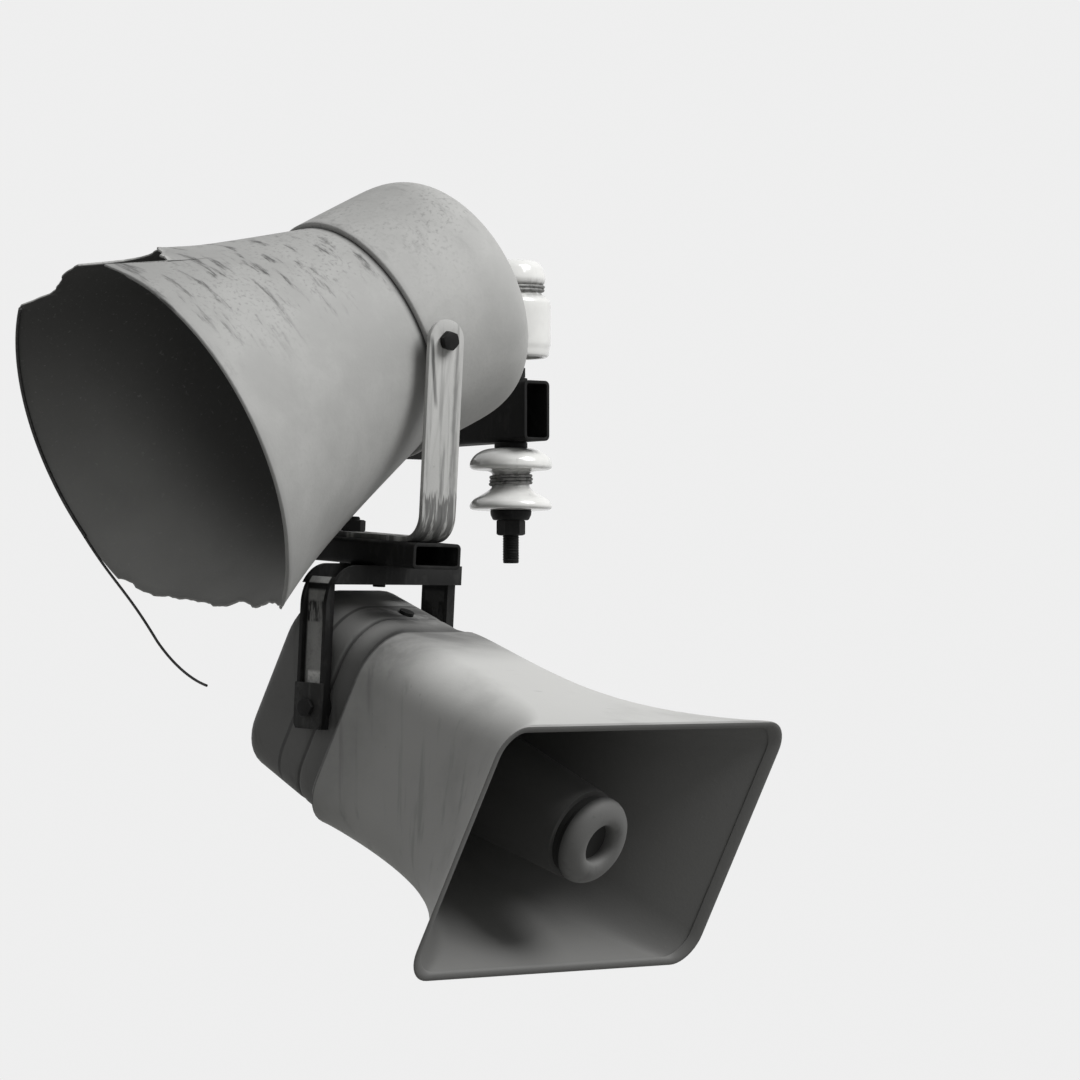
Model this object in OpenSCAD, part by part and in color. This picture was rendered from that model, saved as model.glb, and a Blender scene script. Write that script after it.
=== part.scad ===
// Pair of public warning loudspeakers on a steel wall bracket:
// a round bell horn above, a rectangular horn below and line insulators beside them.
// Origin: on the wall face of the bracket, where the centre line of the lower arm meets it.
// X runs along the wall to the right, -Y out to the street and Z up.

/* [Wall bracket] */
// Thickness of the wall rail and the wall plate
plate_t = 8; // [6:1:12]
// Height of the horizontal wall rail
rail_h = 70; // [64:1:90]
// Reach of the rail to the left of the lower arm
rail_left = 45; // [40:1:60]
// Reach of the rail to the right of the upper arm
rail_right = 71; // [45:1:90]
// Width of the wall plate that carries the lower arm
wall_plate_w = 90; // [84:1:120]
// Reach of the wall plate below the centre line of the lower arm
wall_plate_drop = 50; // [46:1:80]
// Diameter of the anchor holes
anchor_d = 13; // [8:1:16]
// Spacing of the anchor holes along the wall
anchor_dx = 64; // [56:1:66]
// Height between the two rows of anchor holes
anchor_dz = 160; // [152:1:164]
// Height of the lower row of anchor holes
anchor_low_z = -35; // [-38:1:-32]

/* [Arms] */
// Wall thickness of both hollow arms
arm_wall = 3; // [2:0.5:4]
// Outer corner radius of both hollow arms
arm_corner = 5; // [4:0.5:8]
// Width of the lower arm
lower_arm_w = 54; // [50:1:60]
// Height of the lower arm
lower_arm_h = 24; // [20:1:30]
// Length of the lower arm from the wall
lower_arm_len = 406; // [396:1:440]
// Angle by which the lower arm sags towards the street
lower_arm_sag = 4.5; // [0:0.5:6]
// Distance along the wall between the two arms
arm_spacing = 215; // [210:1:260]
// Width of the upper arm
upper_arm_w = 30; // [26:1:40]
// Height of the upper arm
upper_arm_h = 58; // [50:1:64]
// Height of the centre line of the upper arm
upper_arm_z = 117; // [112:1:122]
// Length of the upper arm from the wall
upper_arm_len = 273; // [260:1:330]

/* [Insulators] */
// Distance of the insulator pin from the free end of the upper arm
pin_back = 42; // [30:1:60]
// Diameter of the threaded insulator pin
pin_d = 15; // [12:1:16]
// Length of the pin below the upper arm
pin_low = 117; // [112:1:130]
// Gap between the upper arm and the skirt of the bell insulator
bell_gap = 24; // [20:1:40]
// Outer radius of the bell insulator's skirt
bell_r = 38.5; // [36:0.5:40]
// Height of the bell insulator
bell_h = 94; // [88:1:105]
// Outer radius of the spool insulator's flanges
spool_r = 40; // [36:0.5:42]
// Height of the spool insulator
spool_h = 60; // [56:1:66]
// Radius of the spool insulator's neck
spool_neck_r = 21; // [18:0.5:24]
// Thickness of the collar between the upper arm and the spool insulator
collar_h = 6; // [4:1:8]
// Diameter of the tie wire round each insulator
tie_d = 4; // [3:0.5:5]

/* [Upper yoke] */
// Width of the flat bar of the upper yoke
strap_w = 39; // [36:1:44]
// Thickness of the flat bar
strap_t = 5; // [4:0.5:6]
// Outer width of the upper yoke between the faces of its legs
strap_span = 272; // [268:1:290]
// Height of the upper pivots above the lower arm
upper_pivot_h = 188; // [184:1:200]
// Outer radius of the bends of the upper yoke
strap_bend_r = 27; // [18:1:30]
// Diameter of the pivot and clamp bolts
bolt_d = 12; // [10:1:14]
// Clearance of a bolt in its hole
bolt_fit = 0.3; // [0.2:0.1:0.5]

/* [Upper horn] */
// Radius of the bell mouth over its wired rim
bell_mouth_r = 200; // [190:1:205]
// Distance of the mouth in front of the pivots
upper_mouth_reach = 257; // [250:1:262]
// Radius of the rear cover
rear_cover_r = 121; // [116:1:122]
// Distance of the seam in front of the pivots
seam_reach = 10; // [8:1:14]
// Step from the rear cover down to the bell at the seam
seam_step = 5; // [4:1:6]
// Distance of the start of the rounded rear end behind the pivots
dome_back = 60; // [50:1:64]
// Depth of the rounded rear end
dome_depth = 75; // [60:1:80]
// Thickness of the bell and cover sheet
sheet_t = 2.5; // [2:0.5:3]
// Radius of the wired rim bead
bead_r = 3; // [3:0.5:4]
// Radius of the wire inside the rim bead
wire_r = 2.3; // [1.5:0.1:2.5]
// Length of the loose rim wire's straight stretch
wire_len = 122; // [60:1:140]
// Bend radius of the loose rim wire's end
wire_bend_r = 86; // [60:1:120]
// Downward tilt of the upper horn
upper_tilt = 25.8; // [22:0.1:27]

/* [Lower yoke] */
// Width of the channel under the arm
yoke_w = 40; // [36:1:44]
// Width of the channel's legs
leg_w = 32; // [28:1:34]
// Sheet thickness of the channel
yoke_t = 4; // [3:0.5:5]
// Depth of the channel's flanges on the legs
yoke_flange = 7; // [6:1:10]
// Depth of the channel's flanges under the arm
yoke_web_depth = 18; // [16:1:20]
// Reach of the web's far end beyond the inner face of its leg
web_reach = 15; // [14:1:18]
// Radius of the web's corner on the bell's side
web_corner = 38; // [37:1:40]
// Gap between the body of the lower horn and each leg
side_gap = 5.5; // [5.5:0.5:8]
// Height of the plate that closes each leg's lower end
end_plate_h = 43; // [40:1:50]
// Thickness of the end plates
end_plate_t = 2.5; // [2:0.5:4]
// Room between the top of the lower horn's body and the underside of the arm
lower_horn_room = 34; // [34:1:41]
// Distance of the lower yoke's bolt from the free end of the lower arm
lower_bolt_back = 90; // [80:1:100]
// Turn of the lower yoke about its bolt
lower_turn = 14; // [0:1:25]

/* [Lower horn] */
// Width of the rectangular mouth
mouth_w = 420; // [380:1:440]
// Height of the rectangular mouth
mouth_h = 260; // [230:1:280]
// Corner radius of the rectangular mouth
mouth_corner = 32; // [24:1:40]
// Distance of the rectangular mouth in front of the pivots
lower_mouth_reach = 302; // [290:1:320]
// Rise of the mouth's centre over the pivots
mouth_rise = 12; // [6:1:16]
// Width of the body at the pivots
body_w = 152; // [146:1:152]
// Height of the body where it starts to widen
body_h = 198; // [190:1:200]
// Loss of height from there to the closed end
body_taper = 14; // [8:1:20]
// Drop of the body's centre below the pivots
body_drop = 3; // [1:1:5]
// Distance of the closed end behind the pivots
body_back = 74; // [66:1:74]
// Rounding of the closed end's edge
body_end_r = 14; // [10:1:18]
// Corner radius of the body
body_corner = 46; // [42:1:56]
// Distance of the rear seam in front of the pivots
rear_seam = 3; // [0:1:8]
// Distance in front of the pivots where the body starts to widen
shoulder_start = 28; // [28:1:31]
// Distance of the front seam in front of the pivots
front_seam = 37; // [36:1:42]
// Width of the body at the front seam
shoulder_w = 178; // [170:1:184]
// Step from the body out to the flare at the front seam
flare_step = 1.8; // [1.5:0.1:3]
// Wall thickness of the flare
flare_t = 4; // [3:0.5:4.5]
// Width of the lip round the mouth's front edge
mouth_lip = 7; // [6:0.5:9]
// Downward tilt of the lower horn
lower_tilt = 23.9; // [15:0.1:30]
// Outer radius of the centre tube's ring lip
lip_r = 42; // [40:1:44]
// Radius of the recess in the ring lip
lip_hole_r = 17; // [12:1:20]
// Outer radius of the centre tube where it leaves the back wall
tube_root_r = 57; // [48:1:58]
// Rise of the centre tube's root over the pivots
tube_root_rise = -5; // [-6:1:4]
// Rise of the centre tube's tip over the pivots
tube_tip_rise = 15; // [10:1:20]

/* [Hidden] */
$fn = 72;

steel_dark = [0.10, 0.10, 0.09];
steel_light = [0.62, 0.63, 0.60];
bell_grey = [0.58, 0.59, 0.56];
plastic_grey = [0.50, 0.51, 0.49];
porcelain = [0.88, 0.88, 0.85];

rail_len = rail_left + arm_spacing + rail_right;
rail_low_z = upper_arm_z - rail_h / 2;
pin_y = -(upper_arm_len - pin_back);
arm_low_z = upper_arm_z - upper_arm_h / 2;
arm_top_z = upper_arm_z + upper_arm_h / 2;
spool_top_z = arm_low_z - collar_h;
spool_low_z = spool_top_z - spool_h;
washer_h = 4;
nut_h = 11;
head_h = 8;
nut_r = 11.5;
pin_nut_r = 14;
pin_nut_h = 14;
bell_low_z = arm_top_z + bell_gap;
strap_half = strap_span / 2;
upper_bolt_y = -(lower_arm_len - strap_half);
lower_bolt_y = -(lower_arm_len - lower_bolt_back);
upper_pivot_z = lower_arm_h / 2 + upper_pivot_h;
lower_pivot_drop = body_h / 2 + lower_horn_room;
lower_pivot_z = -lower_arm_h / 2 - lower_pivot_drop;
back_wall_t = 6;
lip_h = 27;
lip_depth = 18;
lip_groove = 5;
tube_len = lower_mouth_reach - front_seam - back_wall_t;
plug_lean = atan(body_taper / 2 / (shoulder_start + body_back));
seam_r = rear_cover_r - seam_step;
bell_edge_r = bell_mouth_r - bead_r + sheet_t / 2;
bell_edge = upper_mouth_reach - bead_r;
pivot_boss_d = 2 * seam_reach - 2;
yoke_leg_x = body_w / 2 + side_gap;
leg_depth = yoke_t + yoke_flange;
leg_end = 20;
seam_groove = 1.5;
cut = lower_arm_len;
driver_r = 0.41 * rear_cover_r;
driver_back = 20;
baffle_t = 4;

// Frame of the sagging lower arm
module on_lower_arm() {
    rotate([lower_arm_sag, 0, 0]) children();
}

// Frame of the upper horn: origin between its pivots, mouth towards +Z
module on_upper_horn() {
    on_lower_arm()
        translate([0, upper_bolt_y, upper_pivot_z])
        rotate([0, -90 - upper_tilt, 0])
        children();
}

// Frame of the lower yoke: origin on the underside of the arm, on the bolt
module on_lower_yoke() {
    on_lower_arm()
        translate([0, lower_bolt_y, -lower_arm_h / 2])
        rotate([0, 0, lower_turn])
        children();
}

// Frame of the lower horn: origin between its pivots, X across, Y up and mouth towards +Z
module on_lower_horn() {
    on_lower_yoke()
        translate([0, 0, -lower_pivot_drop])
        rotate([90 + lower_tilt, 0, 0])
        children();
}

// Rounded rectangle centred on the origin
module rounded_rect(w, h, r) {
    square([w - 2 * r, h], center = true);
    square([w, h - 2 * r], center = true);
    for (x = [-1, 1], y = [-1, 1])
        translate([x * (w / 2 - r), y * (h / 2 - r)]) circle(r);
}

// Hollow rectangular bar along -Y from the wall plate
module hollow_arm(w, h, len, start) {
    translate([0, -start, 0]) rotate([90, 0, 0]) linear_extrude(len - start) difference() {
        rounded_rect(w, h, arm_corner);
        rounded_rect(w - 2 * arm_wall, h - 2 * arm_wall, arm_corner - arm_wall + 0.5);
    }
}

// Hexagonal nut or bolt head standing on z = 0
module hex(r, h) {
    cylinder(r = r, h = h, $fn = 6);
}

// Rings of a rounded rectangle, for lofted shells
function ring(w, h, r, rise, z, n = 6) = [
    for (q = [0:3], i = [0:n])
        let (a = 90 * q + 90 * i / n,
             cx = (q == 0 || q == 3 ? 1 : -1) * (w / 2 - r),
             cy = (q < 2 ? 1 : -1) * (h / 2 - r))
        [cx + r * cos(a), cy + r * sin(a) + rise, z]
];

// Closed loft through a list of rings
module loft(rings) {
    n = len(rings[0]);
    m = len(rings);
    points = [for (g = rings) for (p = g) p];
    sides = [for (k = [0:m - 2], i = [0:n - 1])
        for (t = [0, 1])
            t == 0 ? [k * n + i, (k + 1) * n + (i + 1) % n, k * n + (i + 1) % n]
                   : [k * n + i, (k + 1) * n + i, (k + 1) * n + (i + 1) % n]];
    low = [[for (i = [0:n - 1]) i]];
    high = [[for (i = [n - 1:-1:0]) (m - 1) * n + i]];
    polyhedron(concat(points), concat(low, sides, high), convexity = 6);
}

// Size of the flare between the front seam (0) and the mouth (1)
flare_w0 = shoulder_w + 2 * flare_step;
flare_h0 = body_h + 2 * flare_step;
flare_r0 = body_corner + flare_step;
function grow(a, b, share, power, t) = a + (b - a) * (share * t + (1 - share) * pow(t, power));
function flare_w(t) = grow(flare_w0, mouth_w, 0.1, 4.3, t);
function flare_h(t) = grow(flare_h0, mouth_h, 0.11, 3.4, t);
function flare_r(t) = flare_r0 + (mouth_corner - flare_r0) * pow(t, 3) + 20 * t * (1 - t);
function flare_rise(t) = -body_drop + (mouth_rise + body_drop) * pow(t, 0.66);
function flare_z(t) = front_seam + (lower_mouth_reach - front_seam) * t;
function flare_ring(t, inset, z) =
    ring(flare_w(t) - 2 * inset, flare_h(t) - 2 * inset, flare_r(t) - inset, flare_rise(t), z);
flare_steps = 12;

// Section of the body at a distance in front of the pivots
function body_h_at(z) = body_h - body_taper * max(0, shoulder_start - z) / (shoulder_start + body_back);
function body_ring(w, inset, z) =
    ring(w - 2 * inset, body_h_at(z) - 2 * inset, body_corner - 0.6 * inset, -body_drop, z);

// Torn edges of the bell: turn from its top towards the wall and distance in front of the pivots,
// and the lower edge as distance towards the wall and height over the lower arm
top_tear = [[46, 270], [44, 246], [41, 234], [36, 232], [30, 229], [23, 223], [22, 208], [25, 194],
            [19, 186], [8, 183], [-3, 188], [-11, 196], [-14, 210], [-18, 240], [-20, 270]];
low_tear = [[-150, -52], [-128, -50], [-96, -53], [-51, -51], [-16, -55], [10, -54], [22, -58],
            [64, -56], [107, -53], [131, -42], [160, -36], [160, -130], [-150, -130]];

module wall_rail() {
    color(steel_dark) difference() {
        translate([-rail_left, -plate_t, rail_low_z]) cube([rail_len, plate_t, rail_h]);
        for (x = [-anchor_dx / 2, anchor_dx / 2])
            translate([x, cut / 2, anchor_low_z + anchor_dz])
                rotate([90, 0, 0]) cylinder(d = anchor_d, h = cut);
        translate([arm_spacing + rail_right - 20, cut / 2, upper_arm_z])
            rotate([90, 0, 0]) cylinder(d = anchor_d, h = cut);
    }
}

module wall_plate() {
    color(steel_dark) difference() {
        translate([-wall_plate_w / 2, -plate_t, -wall_plate_drop])
            cube([wall_plate_w, plate_t, rail_low_z + wall_plate_drop]);
        for (x = [-anchor_dx / 2, anchor_dx / 2])
            translate([x, cut / 2, anchor_low_z]) rotate([90, 0, 0]) cylinder(d = anchor_d, h = cut);
    }
}

module lower_arm() {
    color(steel_dark) difference() {
        on_lower_arm() hollow_arm(lower_arm_w, lower_arm_h, lower_arm_len, 0);
        translate([-cut / 2, -plate_t, -cut / 2]) cube([cut, cut, cut]);
        on_lower_arm() for (y = [upper_bolt_y, lower_bolt_y])
            translate([0, y, -cut / 2]) cylinder(d = bolt_d + 2 * bolt_fit, h = cut);
    }
}

module upper_arm() {
    color(steel_dark) translate([arm_spacing, 0, upper_arm_z]) difference() {
        hollow_arm(upper_arm_w, upper_arm_h, upper_arm_len, plate_t);
        translate([0, pin_y, -cut / 2]) cylinder(d = pin_d + 2 * bolt_fit, h = cut);
    }
}

// Pieces on the insulator pin share its axis
module on_pin() {
    translate([arm_spacing, pin_y, 0]) children();
}

module insulator_pin() {
    pin_top = bell_low_z + 0.6 * bell_h;
    color(steel_dark) on_pin() translate([0, 0, arm_low_z - pin_low])
        cylinder(d = pin_d, h = pin_top - arm_low_z + pin_low);
}

module pin_top_nut() {
    color(steel_dark) on_pin() translate([0, 0, arm_top_z]) difference() {
        union() {
            cylinder(r = pin_nut_r + 2, h = washer_h);
            translate([0, 0, washer_h]) hex(pin_nut_r, nut_h);
        }
        translate([0, 0, -1]) cylinder(d = pin_d + 2 * bolt_fit, h = cut);
    }
}

module pin_collar() {
    color(steel_dark) on_pin() translate([0, 0, spool_top_z]) difference() {
        cylinder(r = pin_nut_r + 2, h = collar_h);
        translate([0, 0, -1]) cylinder(d = pin_d + 2 * bolt_fit, h = cut);
    }
}

module bell_insulator() {
    neck_r = bell_r - 9;
    head_r = bell_r - 5;
    color(porcelain) on_pin() translate([0, 0, bell_low_z]) difference() {
        rotate_extrude() polygon([
            [0, 0], [bell_r - 4, 0], [bell_r - 3, 7], [bell_r - 1, 9], [bell_r, 12], [bell_r, bell_h - 42],
            [bell_r - 1.5, bell_h - 38], [bell_r - 5, bell_h - 35], [neck_r, bell_h - 33],
            [neck_r, bell_h - 24], [head_r - 1, bell_h - 22], [head_r, bell_h - 18],
            [head_r - 3, bell_h - 8], [head_r - 7, bell_h - 2], [head_r - 11, bell_h], [0, bell_h]]);
        translate([0, 0, -1]) cylinder(r1 = bell_r - 8, r2 = bell_r - 16, h = bell_h * 0.45);
        cylinder(d = pin_d + 2 * bolt_fit, h = 0.6 * bell_h + bolt_fit);
    }
}

module bell_tie_wire() {
    color(steel_dark) on_pin() translate([0, 0, bell_low_z + bell_h - 28.5])
        rotate_extrude() translate([bell_r - 9 + tie_d / 2, 0]) circle(d = tie_d);
}

module spool_insulator() {
    color(porcelain) on_pin() translate([0, 0, spool_low_z]) difference() {
        rotate_extrude() polygon([
            [0, 0], [spool_neck_r, 0], [spool_r - 8, 2], [spool_r - 2, 6], [spool_r, 11], [spool_r - 1, 15],
            [spool_r - 5, 18], [spool_neck_r + 6, 21], [spool_neck_r + 1, 24], [spool_neck_r, 27],
            [spool_neck_r, spool_h - 27], [spool_neck_r + 1, spool_h - 24], [spool_neck_r + 8, spool_h - 22],
            [spool_r - 2, spool_h - 20], [spool_r, spool_h - 17], [spool_r - 1, spool_h - 11],
            [spool_r - 5, spool_h - 5], [spool_r - 12, spool_h - 1.5], [spool_neck_r - 1, spool_h],
            [0, spool_h]]);
        translate([0, 0, -1]) cylinder(d = pin_d + 2 * bolt_fit, h = cut);
    }
}

module spool_tie_wire() {
    color(steel_light) on_pin() translate([0, 0, spool_low_z + spool_h / 2])
        rotate_extrude() translate([spool_neck_r + tie_d / 2, 0]) circle(d = tie_d);
}

module spool_washer() {
    color(steel_dark) on_pin() translate([0, 0, spool_low_z - washer_h]) difference() {
        cylinder(r = 20, h = washer_h);
        translate([0, 0, -1]) cylinder(d = pin_d + 2 * bolt_fit, h = cut);
    }
}

module spool_nut() {
    color(steel_dark) on_pin() translate([0, 0, spool_low_z - washer_h - pin_nut_h]) difference() {
        hex(pin_nut_r, pin_nut_h);
        translate([0, 0, -1]) cylinder(d = pin_d + 2 * bolt_fit, h = cut);
    }
}

// Clamp bolt through the upper yoke and the lower arm, head below and nut above
module upper_clamp_bolt() {
    color(steel_dark) on_lower_arm() translate([0, upper_bolt_y, 0]) {
        translate([0, 0, -lower_arm_h / 2 - head_h]) hex(nut_r, head_h);
        translate([0, 0, -lower_arm_h / 2]) cylinder(d = bolt_d, h = lower_arm_h + strap_t + nut_h + 3);
        translate([0, 0, lower_arm_h / 2 + strap_t]) hex(nut_r, nut_h);
    }
}

// Clamp bolt through the lower arm and the lower yoke, head inside the arm and nut below
module lower_clamp_bolt() {
    color(steel_dark) on_lower_arm() translate([0, lower_bolt_y, 0]) {
        translate([0, 0, -lower_arm_h / 2 + arm_wall]) hex(nut_r, head_h);
        translate([0, 0, -lower_arm_h / 2 - yoke_web_depth - 3])
            cylinder(d = bolt_d, h = yoke_web_depth + 3 + arm_wall);
        translate([0, 0, -lower_arm_h / 2 - yoke_web_depth + yoke_t]) hex(nut_r, 5);
    }
}

module upper_yoke() {
    color(steel_light) on_lower_arm() translate([0, upper_bolt_y, lower_arm_h / 2]) difference() {
        union() {
            rotate([90, 0, 90]) translate([0, 0, -strap_w / 2]) linear_extrude(strap_w) difference() {
                strap_outline(strap_half, 0);
                strap_outline(strap_half - strap_t, strap_t);
            }
            for (side = [-1, 1]) translate([0, side * (strap_half - strap_t / 2), upper_pivot_h])
                rotate([90, 0, 0]) cylinder(d = strap_w, h = strap_t, center = true);
        }
        translate([0, 0, -1]) cylinder(d = bolt_d + 2 * bolt_fit, h = strap_t + 2);
        translate([0, cut / 2, upper_pivot_h]) rotate([90, 0, 0])
            cylinder(d = bolt_d + 2 * bolt_fit, h = cut);
    }
}

// Upright of the yoke with rounded lower corners, inset for its inner face
module strap_outline(half, inset) {
    r = strap_bend_r - inset;
    translate([-half, inset + r]) square([2 * half, upper_pivot_h - inset - r]);
    translate([-half + r, inset]) square([2 * (half - r), r + 0.01]);
    for (side = [-1, 1]) translate([side * (half - r), inset + r]) circle(r);
}

// Outer radius of the bell at a distance in front of the pivots: a cone that opens towards the rim
function bell_wall_r(z) = let (t = (z - seam_reach) / (bell_edge - seam_reach))
    seam_r + (bell_edge_r - seam_r) * (0.8 * t + 0.2 * pow(t, 4));

module upper_bell() {
    steps = 12;
    levels = [for (i = [0:steps]) seam_reach + (bell_edge - seam_reach) * i / steps];
    outer = [for (i = [0:steps]) [bell_wall_r(levels[i]), levels[i]]];
    inner = [for (i = [steps:-1:0]) [bell_wall_r(levels[i]) - sheet_t, levels[i]]];
    middle = 12;
    color(bell_grey) difference() {
        on_upper_horn() difference() {
            rotate_extrude($fn = 120) polygon(concat(outer, inner));
            rotate([0, 0, middle]) rotate([90, 0, 90]) linear_extrude(cut)
                polygon([for (p = top_tear) [bell_wall_r(p[1]) * sin(p[0] - middle), p[1]]]);
        }
        on_lower_arm() translate([-cut, upper_bolt_y, 0]) rotate([90, 0, 90]) linear_extrude(cut)
            polygon(low_tear);
    }
}

// Stretch of the rim bead between two turns from the bell's top
module rim_arc(from, to) {
    rotate([0, 0, from]) rotate_extrude(angle = to - from, $fn = 120)
        translate([bell_edge_r - sheet_t / 2, 0]) circle(bead_r, $fn = 24);
}

module upper_near_rim() {
    color(bell_grey) on_upper_horn() translate([0, 0, upper_mouth_reach]) rim_arc(-137, -22);
}

// Far stretch of the rim bead, whose wire has come loose at its lower end
module upper_far_rim_wire() {
    loose_from = 120;
    color(bell_grey) on_upper_horn() translate([0, 0, upper_mouth_reach]) {
        rim_arc(46, loose_from);
        rotate([0, 0, loose_from]) translate([bell_edge_r - sheet_t / 2, 0, 0]) {
            translate([0, -wire_r, 0]) rotate([-90, 0, 0])
                cylinder(r = wire_r, h = wire_len + 2 * wire_r, $fn = 24);
            translate([-wire_bend_r, wire_len, 0]) rotate_extrude(angle = 50, $fn = 120)
                translate([wire_bend_r, 0]) circle(wire_r - 0.1, $fn = 24);
        }
    }
}

// Half outline of the rear cover behind the pivots
function cover_outline(inset) = [for (i = [0:16]) let (a = 90 * i / 16)
    [(rear_cover_r - inset) * pow(cos(a), 0.6), dome_back + (dome_depth - inset) * pow(sin(a), 0.6)]];

module upper_rear_cover() {
    hem = seam_step + sheet_t + 2;
    color(bell_grey) on_upper_horn() rotate([180, 0, 0]) rotate_extrude($fn = 120) difference() {
        polygon(concat([[0, -seam_reach], [rear_cover_r, -seam_reach]], cover_outline(0)));
        polygon(concat([[0, -seam_reach - 1], [rear_cover_r - hem, -seam_reach - 1],
                        [rear_cover_r - hem, -seam_reach + sheet_t],
                        [rear_cover_r - sheet_t, -seam_reach + sheet_t]], cover_outline(sheet_t)));
    }
}

module upper_driver() {
    color(steel_dark) on_upper_horn() translate([0, 0, -driver_back]) {
        cylinder(r = rear_cover_r - sheet_t, h = baffle_t, $fn = 120);
        translate([0, 0, -dome_back]) cylinder(r = driver_r, h = dome_back);
    }
}

// Pivot of the upper horn on one side: boss on the cover, bolt and head outside the yoke
module upper_pivot(side) {
    start = rear_cover_r - 2;
    on_upper_horn() difference() {
        rotate([side * 90, 0, 0]) {
            translate([0, 0, start]) cylinder(d = pivot_boss_d, h = strap_half - strap_t - bolt_fit - start);
            translate([0, 0, start]) cylinder(d = bolt_d, h = strap_half + bolt_fit - start);
            translate([0, 0, strap_half + bolt_fit]) hex(nut_r, head_h);
        }
        translate([0, 0, -pivot_boss_d]) cylinder(r = rear_cover_r, h = 2 * pivot_boss_d, $fn = 120);
    }
}

module upper_near_pivot() {
    color(steel_dark) upper_pivot(1);
}

module upper_far_pivot() {
    color(steel_dark) upper_pivot(-1);
}

module lower_yoke() {
    leg_low = lower_pivot_drop + leg_end;
    near_x = -yoke_leg_x - leg_depth;
    web_len = yoke_leg_x + web_reach - near_x;
    color(steel_dark) on_lower_yoke() difference() {
        union() {
            for (side = [-1, 1]) {
                translate([side * (yoke_leg_x + yoke_t / 2) - yoke_t / 2, -leg_w / 2, -leg_low])
                    cube([yoke_t, leg_w, leg_low]);
                for (edge = [-1, 1])
                    translate([side * (yoke_leg_x + leg_depth / 2) - leg_depth / 2,
                               edge * (leg_w - yoke_t) / 2 - yoke_t / 2, -leg_low])
                        cube([leg_depth, yoke_t, leg_low]);
            }
            translate([near_x, -yoke_w / 2, -yoke_web_depth]) cube([web_len, yoke_w, yoke_t]);
            for (edge = [-1, 1])
                translate([near_x, edge * (yoke_w - yoke_t) / 2 - yoke_t / 2, -yoke_web_depth])
                    cube([web_len, yoke_t, yoke_web_depth]);
        }
        translate([0, 0, -cut / 2]) cylinder(d = bolt_d + 2 * bolt_fit, h = cut);
        translate([-cut / 2, 0, -lower_pivot_drop]) rotate([0, 90, 0])
            cylinder(d = bolt_d + 2 * bolt_fit, h = cut);
        translate([near_x, yoke_w, 0]) rotate([90, 0, 0]) linear_extrude(2 * yoke_w) difference() {
            translate([-1, -web_corner]) square([web_corner + 1, web_corner + 1]);
            translate([web_corner, -web_corner]) circle(web_corner);
        }
    }
}

// Plate on the outer edges of one leg, round the pivot bolt
module lower_end_plate(side) {
    width = leg_w + 4;
    on_lower_yoke() difference() {
        translate([side * (yoke_leg_x + leg_depth + end_plate_t / 2) - end_plate_t / 2,
                   -width / 2, -lower_pivot_drop - leg_end])
            cube([end_plate_t, width, end_plate_h]);
        translate([-cut / 2, 0, -lower_pivot_drop]) rotate([0, 90, 0])
            cylinder(d = bolt_d + 2 * bolt_fit, h = cut);
    }
}

module lower_near_end_plate() {
    color(steel_dark) lower_end_plate(-1);
}

module lower_far_end_plate() {
    color(steel_dark) lower_end_plate(1);
}

module lower_flare() {
    lip_back = 1 - 5 / (lower_mouth_reach - front_seam);
    outer = [for (i = [0:flare_steps]) let (t = i / flare_steps) flare_ring(t, 0, flare_z(t))];
    inner = [for (i = [0:flare_steps - 1]) let (t = i / flare_steps)
        flare_ring(t, flare_t, flare_z(t) - (i == 0 ? 1 : 0))];
    lip = [flare_ring(lip_back, flare_t, flare_z(lip_back)), flare_ring(1, mouth_lip, flare_z(lip_back) + 1),
           flare_ring(1, mouth_lip, lower_mouth_reach + 1)];
    color(plastic_grey) on_lower_horn() difference() {
        loft(outer);
        loft(concat(inner, lip));
    }
}

module lower_back_wall() {
    inset = flare_t + 1.4;
    color(plastic_grey) on_lower_horn() loft([
        flare_ring(0, inset, front_seam),
        flare_ring(0, inset, front_seam + back_wall_t)]);
}

// Frame of the centre tube: origin on its axis at the back wall, tip towards +Z
module on_tube() {
    on_lower_horn() translate([0, tube_root_rise, front_seam + back_wall_t])
        rotate([-atan((tube_tip_rise - tube_root_rise) / tube_len), 0, 0]) children();
}

module lower_centre_tube() {
    len = tube_len - lip_h;
    color(plastic_grey) difference() {
        on_tube() rotate_extrude()
            polygon([[tube_root_r - flare_t, -8], [tube_root_r, -8], [lip_r + 1, len], [lip_r - 8, len]]);
        on_lower_horn() translate([-cut / 2, -cut / 2, front_seam + back_wall_t - cut]) cube(cut);
    }
}

module lower_ring_lip() {
    nose_r = (lip_r - lip_hole_r) / 2;
    color(plastic_grey) on_tube() translate([0, 0, tube_len - lip_h]) rotate_extrude() {
        square([lip_r - 4, lip_groove]);
        translate([0, lip_groove]) square([lip_r, lip_h - lip_depth - lip_groove]);
        translate([lip_hole_r, lip_groove]) square([lip_r - lip_hole_r, lip_h - nose_r - lip_groove]);
        translate([lip_hole_r + nose_r, lip_h - nose_r]) circle(nose_r);
    }
}

module lower_middle_band() {
    color(plastic_grey) on_lower_horn() loft([
        body_ring(body_w, seam_groove, rear_seam),
        body_ring(body_w, 0, rear_seam + seam_groove),
        body_ring(body_w, 0, shoulder_start),
        body_ring(shoulder_w, 0, front_seam)]);
}

module lower_rear_cap() {
    steps = 4;
    rounded = [for (i = [0:steps]) let (a = 90 * i / steps)
        body_ring(body_w, body_end_r * (1 - sin(a)), -body_back + body_end_r * (1 - cos(a)))];
    color(plastic_grey) on_lower_horn() loft(concat(rounded, [
        body_ring(body_w, 0, rear_seam - seam_groove),
        body_ring(body_w, seam_groove, rear_seam)]));
}

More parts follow.
